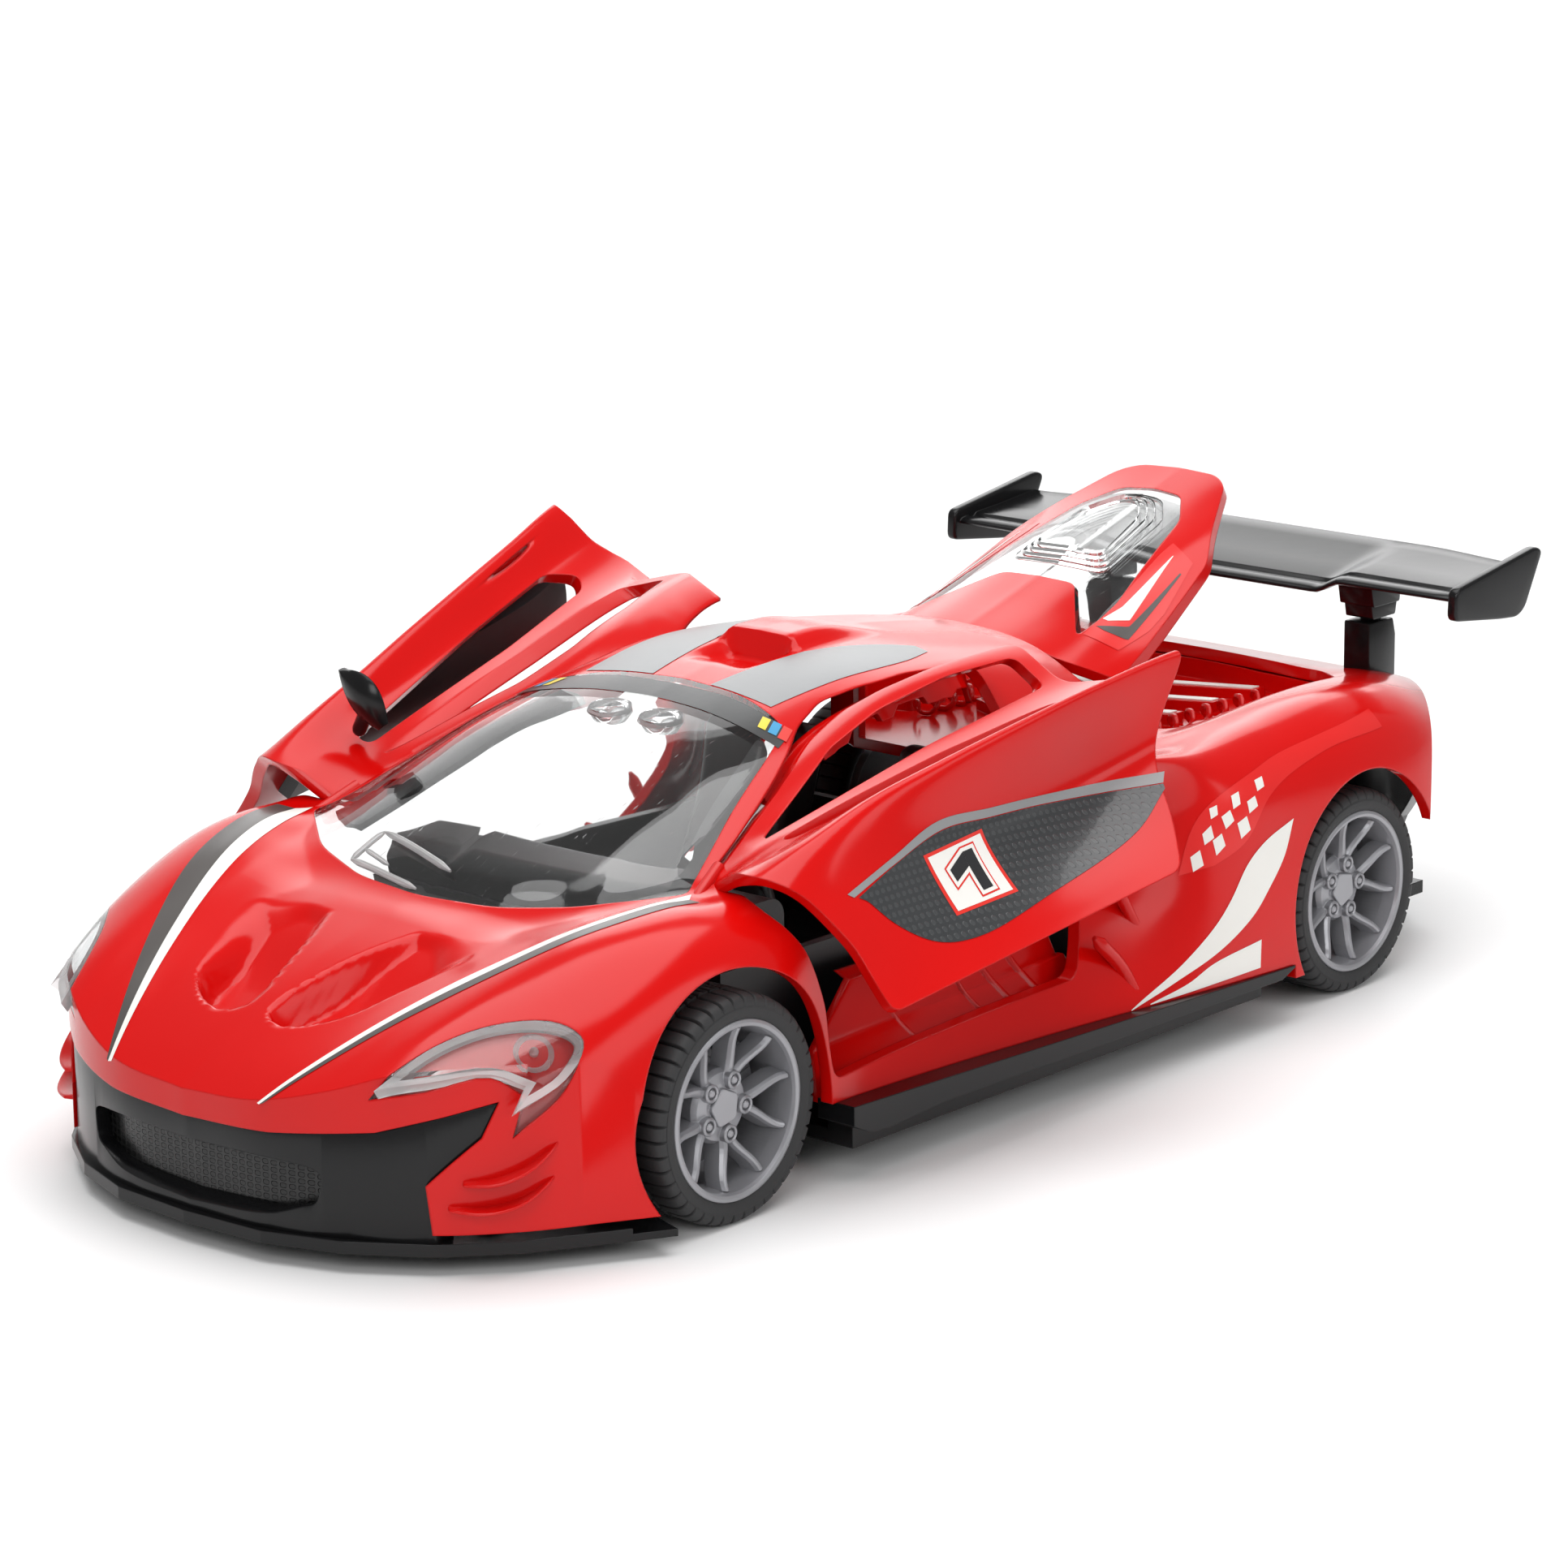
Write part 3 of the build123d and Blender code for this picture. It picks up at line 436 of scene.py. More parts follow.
def plan_outline(shrink):
    """Outline of the whole body from above."""
    nose = crom([(x - shrink, y) for x, y in NOSE_PLAN], 14)
    tail = crom([(x + shrink, y) for x, y in TAIL_PLAN], 14)
    front = list(nose) + [(x, -y) for x, y in nose[-2::-1]]
    rear = [(x, -y) for x, y in tail] + list(tail[-2::-1])
    return [tuple(p) for p in front + rear]


def volume(name, depth, lower=None, shrink=0.0, detail=True):
    """Solid body, inset by a depth."""
    solid = closed_volume(name, surface(depth, lower, detail=detail))
    return boolean(solid, [prism(plan_outline(shrink), "z", 0, 70)], "INTERSECT")


OUTER_GRID = surface()
GRID_VERTS, GRID_FACES = grid(OUTER_GRID)
GRID_TRIS = [t for a, b, c, d in GRID_FACES for t in ((a, c, b), (a, d, c))]
OUTER_TREE = BVHTree.FromPolygons([Vector(v) for v in GRID_VERTS], GRID_TRIS)


def grid_normals(g):
    du = np.gradient(g, axis=0)
    dv = np.gradient(g, axis=1)
    n = np.cross(dv, du)
    n /= np.linalg.norm(n, axis=2, keepdims=True) + 1e-12
    mid = n.shape[1] // 2
    if n[n.shape[0] // 2, mid, 2] < 0:
        n = -n
    return n


GRID_NORMALS = grid_normals(OUTER_GRID).reshape(-1, 3)


def surface_normal(point):
    """Smooth normal of the body surface nearest to a point, and how far away it is."""
    loc, _, index, dist = OUTER_TREE.find_nearest(point)
    tri = GRID_TRIS[index]
    a, b, c = (Vector(GRID_VERTS[i]) for i in tri)
    area = (b - a).cross(c - a)
    w0 = (b - loc).cross(c - loc).dot(area)
    w1 = (c - loc).cross(a - loc).dot(area)
    w2 = (a - loc).cross(b - loc).dot(area)
    n = GRID_NORMALS[tri[0]] * w0 + GRID_NORMALS[tri[1]] * w1 + GRID_NORMALS[tri[2]] * w2
    return loc, Vector(n).normalized(), dist


def true_normals(obj):
    """Gives the outer faces of a piece the body surface's own normals, so that cuts leave no ripple."""
    smooth(obj, 30)
    mesh = obj.data
    loops = [Vector(c.vector) for c in mesh.corner_normals]
    found = {}
    for poly in mesh.polygons:
        for k in poly.loop_indices:
            i = mesh.loops[k].vertex_index
            if i not in found:
                loc, n, dist = surface_normal(mesh.vertices[i].co / MM)
                found[i] = n if dist < 0.03 else None
            n = found[i]
            if n is not None and n.dot(poly.normal) > 0.8:
                loops[k] = n
    mesh.normals_split_custom_set(loops)
    return obj


def side_cut(points, inner=12.0, outer=60.0):
    """Cutter through the left side, drawn (x, z)."""
    return prism(points, "y", inner, outer)


def nose_cut(points):
    """Cutter through the front of the body, drawn (y, z)."""
    return prism(points, "x", 60, 110)


def plan_cut(points):
    """Cutter through the upper body, drawn (x, y)."""
    return prism(points, "z", 24, 70)


def drop(x, y):
    """Point of the body surface right under a plan position."""
    return OUTER_TREE.ray_cast(Vector((x, y, TOP)), Vector((0, 0, -1)))[0]


def turned(obj, matrix):
    """Turns a piece built shut into the open rest pose."""
    obj.data.transform(matrix)
    return obj


def turn_about(point, axis, degrees):
    p = Vector(point) * MM
    return (Matrix.Translation(p) @ Matrix.Rotation(math.radians(degrees), 4, Vector(axis))
            @ Matrix.Translation(-p))


HINGE_AXIS = (HINGE_HIGH - HINGE_LOW).normalized()
OPEN_LEFT = turn_about(HINGE_LOW, HINGE_AXIS, -LEFT_OPEN)
OPEN_RIGHT = turn_about((HINGE_LOW.x, -HINGE_LOW.y, HINGE_LOW.z),
                        (HINGE_AXIS.x, -HINGE_AXIS.y, HINGE_AXIS.z), RIGHT_OPEN)
OPEN_COVER = turn_about(COVER_HINGE, (0, 1, 0), COVER_OPEN)


# ---------------------------------------------------------------- materials
def set_inputs(node, values):
    for key, value in values.items():
        node.inputs[key].default_value = value
    return node


def new_node(mat, kind, values=()):
    return set_inputs(mat.node_tree.nodes.new("ShaderNode" + kind), dict(values))


def new_material(name, base, rough, metallic=0.0, coat=0.0, grain=0.02, scale=900.0, tint=0.04,
                 transmission=0.0, ior=1.46, rough_spread=0.05, edge=0.0):
    """Moulded plastic: faint mottling in colour and gloss, fine grain in the bump, optional soft edges."""
    mat = bpy.data.materials.new(name)
    mat.use_nodes = True
    links = mat.node_tree.links
    shader = mat.node_tree.nodes["Principled BSDF"]
    set_inputs(shader, {"Metallic": metallic, "Coat Weight": coat, "Coat Roughness": 0.05, "IOR": ior,
                        "Transmission Weight": transmission})
    place = new_node(mat, "TexCoord")
    broad = new_node(mat, "TexNoise", {"Scale": 60, "Detail": 4})
    links.new(place.outputs["Object"], broad.inputs["Vector"])
    ramp = new_node(mat, "ValToRGB")
    ramp.color_ramp.elements[0].position = 0.3
    ramp.color_ramp.elements[1].position = 0.7
    ramp.color_ramp.elements[0].color = [c * (1 - tint) for c in base] + [1]
    ramp.color_ramp.elements[1].color = [min(1, c * (1 + tint)) for c in base] + [1]
    links.new(broad.outputs["Fac"], ramp.inputs["Fac"])
    links.new(ramp.outputs["Color"], shader.inputs["Base Color"])
    spread = new_node(mat, "MapRange", {"To Min": max(0.0, rough - rough_spread),
                                        "To Max": rough + rough_spread})
    links.new(broad.outputs["Fac"], spread.inputs["Value"])
    links.new(spread.outputs["Result"], shader.inputs["Roughness"])
    fine = new_node(mat, "TexNoise", {"Scale": scale, "Detail": 3})
    links.new(place.outputs["Object"], fine.inputs["Vector"])
    bump = new_node(mat, "Bump", {"Strength": grain, "Distance": 0.0002})
    links.new(fine.outputs["Fac"], bump.inputs["Height"])
    if edge:
        soft = new_node(mat, "Bevel", {"Radius": edge * MM})
        soft.samples = 4
        links.new(soft.outputs["Normal"], bump.inputs["Normal"])
    links.new(bump.outputs["Normal"], shader.inputs["Normal"])
    return mat


def scratches(mat, amount):
    """Fine rubbed lines in the gloss, as on handled clear plastic."""
    nodes, links = mat.node_tree.nodes, mat.node_tree.links
    stretch = new_node(mat, "Mapping", {"Scale": (30, 700, 200), "Rotation": (0.4, 0.2, 0.7)})
    wave = new_node(mat, "TexNoise", {"Detail": 6})
    links.new(nodes["Texture Coordinate"].outputs["Object"], stretch.inputs["Vector"])
    links.new(stretch.outputs["Vector"], wave.inputs["Vector"])
    pick = new_node(mat, "MapRange", {"From Min": 0.66, "From Max": 0.74,
                                      "To Min": 0.02, "To Max": 0.02 + amount})
    links.new(wave.outputs["Fac"], pick.inputs["Value"])
    links.new(pick.outputs["Result"], nodes["Principled BSDF"].inputs["Roughness"])
    return mat


RED = (0.60, 0.0022, 0.0016)
red = new_material("red_gloss", RED, 0.16, ior=1.38, grain=0.015, edge=0.28, tint=0.03)
red_in = new_material("red_inner", (0.58, 0.0028, 0.002), 0.3, grain=0.05, tint=0.05)
black = new_material("black_satin", (0.006, 0.006, 0.0065), 0.22, ior=1.38, grain=0.03, edge=0.2)
black_soft = new_material("black_inner", (0.011, 0.011, 0.012), 0.42, grain=0.08)
rim_grey = new_material("rim_silver", (0.34, 0.34, 0.36), 0.32, metallic=0.55, grain=0.05, edge=0.15)
disc_grey = new_material("disc_grey", (0.20, 0.20, 0.21), 0.42, metallic=0.3, grain=0.1)
rubber = new_material("tyre_rubber", (0.022, 0.022, 0.023), 0.62, grain=0.14, scale=1400, edge=0.15)
clear = scratches(new_material("clear_plastic", (0.97, 0.98, 0.98), 0.03, transmission=1.0, grain=0.0,
                               tint=0.005, rough_spread=0.02), 0.25)
# Whitish clear plastic; on the lens rim it is a painted highlight standing for the lens's bright edge
frost_and_highlight = new_material("clear_frosted_and_highlight", (0.94, 0.93, 0.93), 0.28, transmission=0.75, grain=0.1, tint=0.02)
sticker_white = new_material("sticker_white", (0.80, 0.79, 0.75), 0.3, grain=0.02, tint=0.02)
sticker_grey = new_material("sticker_grey", (0.07, 0.062, 0.058), 0.3, grain=0.02)
sticker_silver = new_material("sticker_silver", (0.27, 0.275, 0.28), 0.4, metallic=0.1, grain=0.06)
sticker_black = new_material("sticker_black", (0.022, 0.023, 0.024), 0.3, grain=0.05)
sticker_red = new_material("sticker_red", (0.70, 0.03, 0.02), 0.3, grain=0.02)
sticker_yellow = new_material("sticker_yellow", (0.80, 0.62, 0.05), 0.3, grain=0.02)
sticker_blue = new_material("sticker_blue", (0.04, 0.30, 0.55), 0.3, grain=0.02)
steel = new_material("steel_wire", (0.5, 0.5, 0.5), 0.28, metallic=1.0, grain=0.1)
gear_white = new_material("gear_white", (0.78, 0.77, 0.72), 0.45, grain=0.04)
motor_grey = new_material("motor_grey", (0.045, 0.045, 0.05), 0.45, grain=0.08)


def pattern(mat, pitch, size, height, dark, across="Y"):
    """Staggered small ovals over a material, as pressed mesh or woven film."""
    nodes, links = mat.node_tree.nodes, mat.node_tree.links
    shader = nodes["Principled BSDF"]
    split = new_node(mat, "SeparateXYZ")
    links.new(nodes["Texture Coordinate"].outputs["Object"], split.inputs["Vector"])

    def math_node(op, a, b=None):
        node = new_node(mat, "Math")
        node.operation = op
        for k, v in enumerate((a, b)):
            if isinstance(v, (int, float)):
                node.inputs[k].default_value = v
            elif v is not None:
                links.new(v, node.inputs[k])
        return node.outputs[0]

    waves = [math_node("SINE", math_node("MULTIPLY", split.outputs[axis], 2 * math.pi / (step * MM)))
             for axis, step in ((across, pitch[0]), ("Z", pitch[1]))]
    fac = new_node(mat, "MapRange", {"From Min": size, "From Max": size + 0.15})
    links.new(math_node("ABSOLUTE", math_node("MULTIPLY", *waves)), fac.inputs["Value"])
    mix = new_node(mat, "Mix")
    mix.data_type = "RGBA"
    links.new(fac.outputs["Result"], mix.inputs[0])
    links.new(nodes["Color Ramp"].outputs["Color"], mix.inputs[6])
    mix.inputs[7].default_value = (*dark, 1)
    links.new(mix.outputs[2], shader.inputs["Base Color"])
    bump = new_node(mat, "Bump", {"Strength": 1.0, "Distance": height * MM})
    links.new(fac.outputs["Result"], bump.inputs["Height"])
    links.new(bump.outputs["Normal"], shader.inputs["Normal"])
    return mat


film_red = new_material("film_red", (0.70, 0.016, 0.014), 0.24, grain=0.02)
carbon = pattern(new_material("carbon_film", (0.035, 0.037, 0.039), 0.25, coat=0.3, grain=0.02),
                 (1.9, 1.6), 0.5, 0.02, (0.050, 0.053, 0.055), "X")
mesh_look = pattern(new_material("grille_mesh", (0.012, 0.012, 0.012), 0.3, grain=0.02),
                    (2.2, 1.5), 0.35, -0.4, (0.002, 0.002, 0.002))

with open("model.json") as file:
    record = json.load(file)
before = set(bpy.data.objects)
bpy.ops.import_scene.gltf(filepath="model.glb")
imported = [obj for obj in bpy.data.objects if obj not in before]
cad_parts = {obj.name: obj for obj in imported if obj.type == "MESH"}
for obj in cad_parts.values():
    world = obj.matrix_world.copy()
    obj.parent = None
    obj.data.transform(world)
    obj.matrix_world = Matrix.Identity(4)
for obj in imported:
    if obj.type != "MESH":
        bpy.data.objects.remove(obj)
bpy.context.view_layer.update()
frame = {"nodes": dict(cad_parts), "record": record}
SLOT_LOOK = {"red_plastic": red, "clear_plastic": clear, "black_plastic": black,
             "interior_plastic": black_soft, "rim_silver": rim_grey, "tyre_black": rubber,
             "disc_grey": disc_grey, "motor_case": motor_grey, "gear_white": gear_white, "steel": steel}
for entry in frame["record"]["subparts"]:
    paint(frame["nodes"][entry["node"]], SLOT_LOOK[entry["material_slot"]])
    smooth(frame["nodes"][entry["node"]], 30)
paint(frame["nodes"]["door_hinge_pins"], red_in)


def add(obj, body, material=None, replaces=(), name=None):
    """Names a finished piece, paints it and ties it to its body."""
    if material:
        paint(obj, material)
    obj.name = name or obj.name
    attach(obj, body)
    if replaces:
        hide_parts(*replaces)
    return obj


def add_pair(obj, name, material):
    """Adds a left piece of the body and its mirror image on the right."""
    add(flip(obj), "car_body", material, name=name + "_right")
    add(obj, "car_body", material, name=name + "_left")


# ---------------------------------------------------------------- body shell
outer = volume("outer", 0)
cavity = volume("cavity", SKIN, 2.0, SKIN)
skin = boolean(copy_of(outer, "skin"), [copy_of(cavity, "cavity_cut")])

fascia_front = mirrored(FASCIA_FRONT, front=True)
tail_front = mirrored(TAIL_FRONT, front=True)
windscreen_plan = rounded(mirrored(WINDSCREEN_PLAN), 2.0)
bay_plan = rounded(mirrored(BAY_PLAN), 3.0)
door_side = rounded(DOOR_SIDE, 1.6)


def lamp_outline(grow=0.0):
    up = Vector((0, 0, 1)).cross(LAMP_AIM).normalized()
    side = LAMP_AIM.cross(up)
    centre = Vector((81, 32, 22))
    flat = [((Vector(p) - centre).dot(up), (Vector(p) - centre).dot(side)) for p in HEADLIGHT]
    flat = crom(flat[:7], 5).tolist() + crom(flat[7:] + flat[:1], 4).tolist()[:-1]
    flat = grown(flat, grow) if grow else flat
    return [centre + up * a + side * b for a, b in flat]


def lamp_cutter(grow=0.0):
    return sweep(lamp_outline(grow), LAMP_AIM, -6, 8)


body = copy_of(skin, "body")
cutters = [nose_cut(fascia_front), prism(tail_front, "x", -110, -60),
           plan_cut(windscreen_plan), plan_cut(bay_plan)]
cutters += both(side_cut(door_side)) + both(lamp_cutter())
(fx, fz), (rx, rz) = SILL_LINE
cutters += both(side_cut([(fx, 0), (fx, fz), (rx, rz), (rx, 0)], inner=30))
cutters += both(side_cut(rounded(TAIL_UNDER, 1.5), inner=20))
for x in (FRONT_X, REAR_X):
    cutters += both(side_cut([(x + a, TYRE_R + b) for a, b in regular(96, ARCH_R)], 27, 53))
boolean(body, cutters)
body = true_normals(body)
add(body, "car_body", red, ["body_shell"], "body_panel")

glass = boolean(copy_of(skin, "windscreen_glass"), [plan_cut(windscreen_plan)], "INTERSECT")
boolean(glass, both(side_cut(door_side)))
add(true_normals(glass), "car_body", clear, ["windscreen"], "windscreen_glass")

lens = boolean(copy_of(skin, "lens"), [lamp_cutter(-0.05)], "INTERSECT")
for piece, side in ((lens, "left"), (flip(lens), "right")):
    add(true_normals(piece), "car_body", clear, [f"headlight_lens_{side}"], f"lens_{side}")
bed = volume("bed", 1.9, 2.0, 1.9, detail=False)
boolean(bed, [volume("bed_in", 2.9, 2.0, 2.9, detail=False)])
boolean(bed, [lamp_cutter(0.8)], "INTERSECT")
add_pair(smooth(bed), "lamp_bed", red_in)


def ribbon(name, low, high, thick):
    """Plate between two curves in space, thickened inwards across Y."""
    rows = []
    for p, q in zip(resample(low, 40), resample(high, 40)):
        front = [p * (1 - t) + q * t for t in np.linspace(0, 1, 5)]
        rows.append(front + [f - np.array((0, thick, 0)) for f in reversed(front)])
    return tube_mesh(name, rows)


def rod_along(name, points, radius, steps=10, n=40):
    """Round bar along a curve in space, tapered to its ends."""
    p = resample(points, n)
    rows = []
    for i, q in enumerate(p):
        d = Vector(p[min(i + 1, n - 1)] - p[max(i - 1, 0)]).normalized()
        side = d.cross(Vector((0, 0, 1))).normalized()
        over = side.cross(d)
        t = i / (n - 1)
        r = radius * (0.35 + 0.65 * min(1, 8 * t, 8 * (1 - t)))
        rows.append([Vector(q) + (side * math.cos(a) + over * math.sin(a)) * r
                     for a in np.linspace(0, 2 * math.pi, steps, endpoint=False)])
    return tube_mesh(name, rows)


sill_parts = [
    ribbon("sill_low", [(38.6, 38.0, 8.8), (20, 37.9, 8.4), (0, 38.0, 7.9), (-9, 38.2, 7.6)],
           [(35.0, 34.2, 13.2), (20, 33.9, 13.6), (0, 33.7, 13.8), (-9, 33.8, 14.2)], 1.0),
    ribbon("sill_high", [(35.0, 34.2, 13.0), (20, 33.9, 13.4), (0, 33.7, 13.6), (-8, 33.6, 14.0)],
           [(26.5, 32.0, 18.8), (16, 31.6, 18.6), (2, 31.0, 18.4), (-8, 31.0, 18.6)], 1.0),
    ribbon("sill_lip", [(26.5, 32.0, 18.7), (16, 31.6, 18.5), (2, 31.0, 18.3), (-8, 31.0, 18.5)],
           [(26.0, 30.0, 19.2), (16, 29.6, 19.0), (2, 29.0, 18.8), (-8, 29.0, 19.0)], 0.9)]
for x in (-1.5, 3.5):
    rib = [(x + 2.5, 31.3, 18.2), (x + 0.6, 33.3, 14.0), (x - 1.2, 35.6, 10.8)]
    sill_parts.append(rod_along("sill_rib", rib, 0.5))
for x in (10, 22):
    crease = [(x, 31.7, 18.0), (x - 1, 33.8, 13.6), (x - 3, 36.2, 10.4)]
    sill_parts.append(rod_along("sill_crease", crease, 0.3))
add_pair(smooth(join([bevelled(o, 0.2) for o in sill_parts], "sill"), 30), "sill_panel", red)
INTAKE_RIBS = (([(-7.0, 39.7, 17.5), (-12.0, 39.5, 13.0), (-14.5, 40.3, 8.4)], 0.85),
               ([(-12.5, 37.7, 23.5), (-16.5, 37.9, 17.0), (-20.0, 39.1, 10.5)], 0.75))
for k, (line, radius) in enumerate(INTAKE_RIBS):
    add_pair(smooth(rod_along("rib", line, radius), 60), f"intake_rib_{k}", red)


def rail_flange():
    """Ragged red flange hanging inside the roof rail, where the door's glass sits when shut."""
    edge = [(30, 22.6, 39.0), (20, 19.6, 42.4), (8, 18.0, 44.4), (-4, 17.2, 44.8), (-12, 16.6, 44.0)]
    rows = []
    for i, q in enumerate(resample(edge, 46)):
        hang = (1.6, 1.6, 2.6, 2.4, 1.5, 3.4, 3.2, 1.8, 1.6, 2.8)[(i // 3) % 10]
        low = q + np.array((0, 1.1, -hang))
        rows.append([q, low, low - (0, 0.9, 0.1), q - (0, 0.9, 0.1)])
    return smooth(tube_mesh("flange", rows), 25)


add_pair(rail_flange(), "rail_flange", red)


# Wiper moulded on the windscreen, and the two clear lumps under its top edge
def onto_glass(x, y, lift):
    loc = drop(x, y)
    return loc + surface_normal(loc)[1] * lift


glass_parts, moulded = [], []
for (x0, y0), (x1, y1), r in (((57.6, -13.4), (60.0, -1.0), 0.42), ((53.2, -12.6), (56.8, 1.2), 0.42),
                              ((57.6, -13.4), (53.2, -12.6), 0.38), ((56.0, -12.8), (57.6, -7.6), 0.3)):
    line = [onto_glass(x0 + (x1 - x0) * t, y0 + (y1 - y0) * t, 0.12) for t in np.linspace(0, 1, 6)]
    moulded.append(rod_along("moulding", line, r, 8, 16))
for y in (-3.6, 4.2):
    spot = onto_glass(26.5, y, -1.4)
    lump = lathe("lump", [(0.01, -1.6), (1.6, -1.3), (2.3, -0.2), (2.2, 0.9), (0.01, 1.5)], 28)
    lump.data.transform(Matrix.Translation(spot * MM) @ Matrix.Scale(1.25, 4, (0, 1, 0)))
    glass_parts.append(lump)
add(smooth(join(glass_parts, "glass_lumps"), 40), "car_body", clear)
add(smooth(join(moulded, "glass_wiper"), 40), "car_body", frost_and_highlight)

# Black lining inside the windscreen's side edges
lining_rows = []
for x, y in resample([(47.0, 27.4), (36, 23.2), (27, 20.4), (20.4, 17.6)], 30):
    loc, n, _ = surface_normal(drop(x, y))
    inward = Vector((0, -1, 0)) - n * Vector((0, -1, 0)).dot(n)
    a = loc - n * 2.0
    b = loc - n * 3.4 + inward.normalized() * 3.2
    lining_rows.append([a, b, b - n * 0.8, a - n * 0.8])
add_pair(smooth(tube_mesh("strip", lining_rows), 40), "lining", black_soft)

# Headlights: a whitish rim along the lens edge, a painted highlight for the lens's bright edge, and under it
# the lamp's hole, painted as a black disc of shade, and its peg
highlight_rim_rows = []
for a, b in zip(lamp_outline(-0.05), lamp_outline(-0.95)):
    pa, na, _ = surface_normal(a)
    pb, nb, _ = surface_normal(b)
    highlight_rim_rows.append([pa - na * 0.10, pb - nb * 0.35, pb - nb * 1.3, pa - na * 1.4])
add_pair(smooth(hoop("highlight_rim", highlight_rim_rows), 40), "lens_highlight_rim", frost_and_highlight)
spot, aim, _ = surface_normal(Vector((78.0, 34.2, 23.7)))
seat = Matrix.Translation((spot - aim * 2.0) * MM) @ aim.to_track_quat("Z", "Y").to_matrix().to_4x4()
lamp_parts = []
# The black disc is painted shade: it stands for the dark inside the lamp's hole
for profile, mat in (([(0.02, -0.6), (1.5, -0.6), (1.5, 0.0), (0.02, 0.0)], black),
                     ([(1.5, -0.6), (2.1, -0.4), (2.1, 0.25), (1.8, 0.45), (1.5, 0.25)], frost_and_highlight),
                     ([(0.02, -0.2), (0.5, -0.2), (0.45, 0.9), (0.02, 1.1)], frost_and_highlight)):
    piece = lathe("lamp_bit", profile, 28)
    piece.data.transform(seat)
    lamp_parts.append(paint(smooth(piece, 35), mat))
add_pair(smooth(join(lamp_parts, "lamp"), 35), "lamp", None)

# ---------------------------------------------------------------- doors
door = boolean(copy_of(skin, "door"), [side_cut(rounded(grown(DOOR_SIDE, -0.35), 1.4))], "INTERSECT")
boolean(door, [side_cut(rounded(WINDOW_SIDE, 1.2), outer=34), prism(rounded(DUCT_PLAN, 1.6), "z", 29, 60)])
door_right = flip(door, "door_right")
turned(true_normals(door), OPEN_LEFT)
turned(true_normals(door_right), OPEN_RIGHT)
add(door, "left_door", red, ["left_door"], "left_door_panel")
add(door_right, "right_door", red, ["right_door"], "right_door_panel")

# Leaf shaped mirror: a curved blade on a short stalk
leaf_rows = []
for t in np.linspace(0, 1, 18):
    wide = 2.5 * math.sin(math.pi * (0.08 + 0.90 * t)) ** 0.75
    spine = np.array((36.9 - 1.6 * t, -29.9 - 7.9 * t, 38.4 + 3.4 * t - 1.9 * t * t))
    full = spine + (0.75 * math.sin(math.pi * t), 0, 0)
    leaf_rows.append([full + (0.5, 0, 0), full + (0.25, 0.2, wide * 0.7), spine + (0, 0.35, wide),
                      full + (-0.5, 0.2, wide * 0.6), full + (-0.6, 0, 0),
                      full + (-0.5, -0.2, -wide * 0.6), spine + (0, -0.35, -wide),
                      full + (0.25, -0.2, -wide * 0.7)])
stalk = rod_along("stalk", [(36.4, -32.2, 34.6), (36.4, -32.4, 36.6), (36.4, -32.6, 38.6)], 0.9, 10, 12)
mirror = smooth(join([tube_mesh("leaf", leaf_rows), stalk], "mirror_leaf"), 50)
add(turned(mirror, OPEN_RIGHT), "right_door", black, ["right_mirror"])

# ---------------------------------------------------------------- engine cover
cover_plan = rounded(mirrored(COVER_PLAN), 1.4)
window_plan = rounded(mirrored(COVER_WINDOW_PLAN), 1.2)
lid = boolean(copy_of(skin, "lid"), [plan_cut(cover_plan)], "INTERSECT")
boolean(lid, [plan_cut(window_plan)])
turned(true_normals(lid), OPEN_COVER)
add(lid, "engine_cover", red, ["engine_cover"], "cover_panel")
pane = boolean(copy_of(skin, "pane"), [plan_cut(window_plan)], "INTERSECT")
add(turned(true_normals(pane), OPEN_COVER), "engine_cover", clear,
    ["engine_cover_window"], "cover_window")

for o in (outer, cavity, skin):
    bpy.data.objects.remove(o)

# Four raised rings moulded on the clear window
steps = []
for inset, lift in ((1.7, 0.15), (2.5, 0.45), (3.3, 0.75), (4.1, 1.05)):
    half = [(-50.0 - inset, 0), (-50.0 - inset, 8.6 - 0.8 * inset), (-66.0 + 0.6 * inset, 8.0 - inset),
            (-71.0 + inset, 4.4 - 0.7 * inset), (-71.4 + inset, 0)]
    rows = []
    for x, y in resample(rounded(mirrored(half), 1.6), 90, False):
        base, n, _ = surface_normal(drop(x, y))
        ahead = Vector((0.45, 0, 0))
        rows.append([base + n * (lift - 0.4), base + n * lift, base + n * (lift - 0.05) + ahead,
                     base + n * (lift - 0.45) + ahead])
    steps.append(smooth(hoop("step", rows), 40))
add(turned(smooth(join(steps, "window_steps"), 40), OPEN_COVER), "engine_cover", clear)


# ---------------------------------------------------------------- stickers
def onto(x, y, z, axis, lift):
    """Point on the body surface from above, or from the side that axis (1 or -1) names, lifted off it."""
    if axis == "z":
        hit = drop(x, y)
    else:
        hit = OUTER_TREE.ray_cast(Vector((x, TOP * axis, z)), Vector((0, -axis, 0)))[0]
    if hit is None:
        return None
    loc, n, _ = surface_normal(hit)
    return loc + n * lift


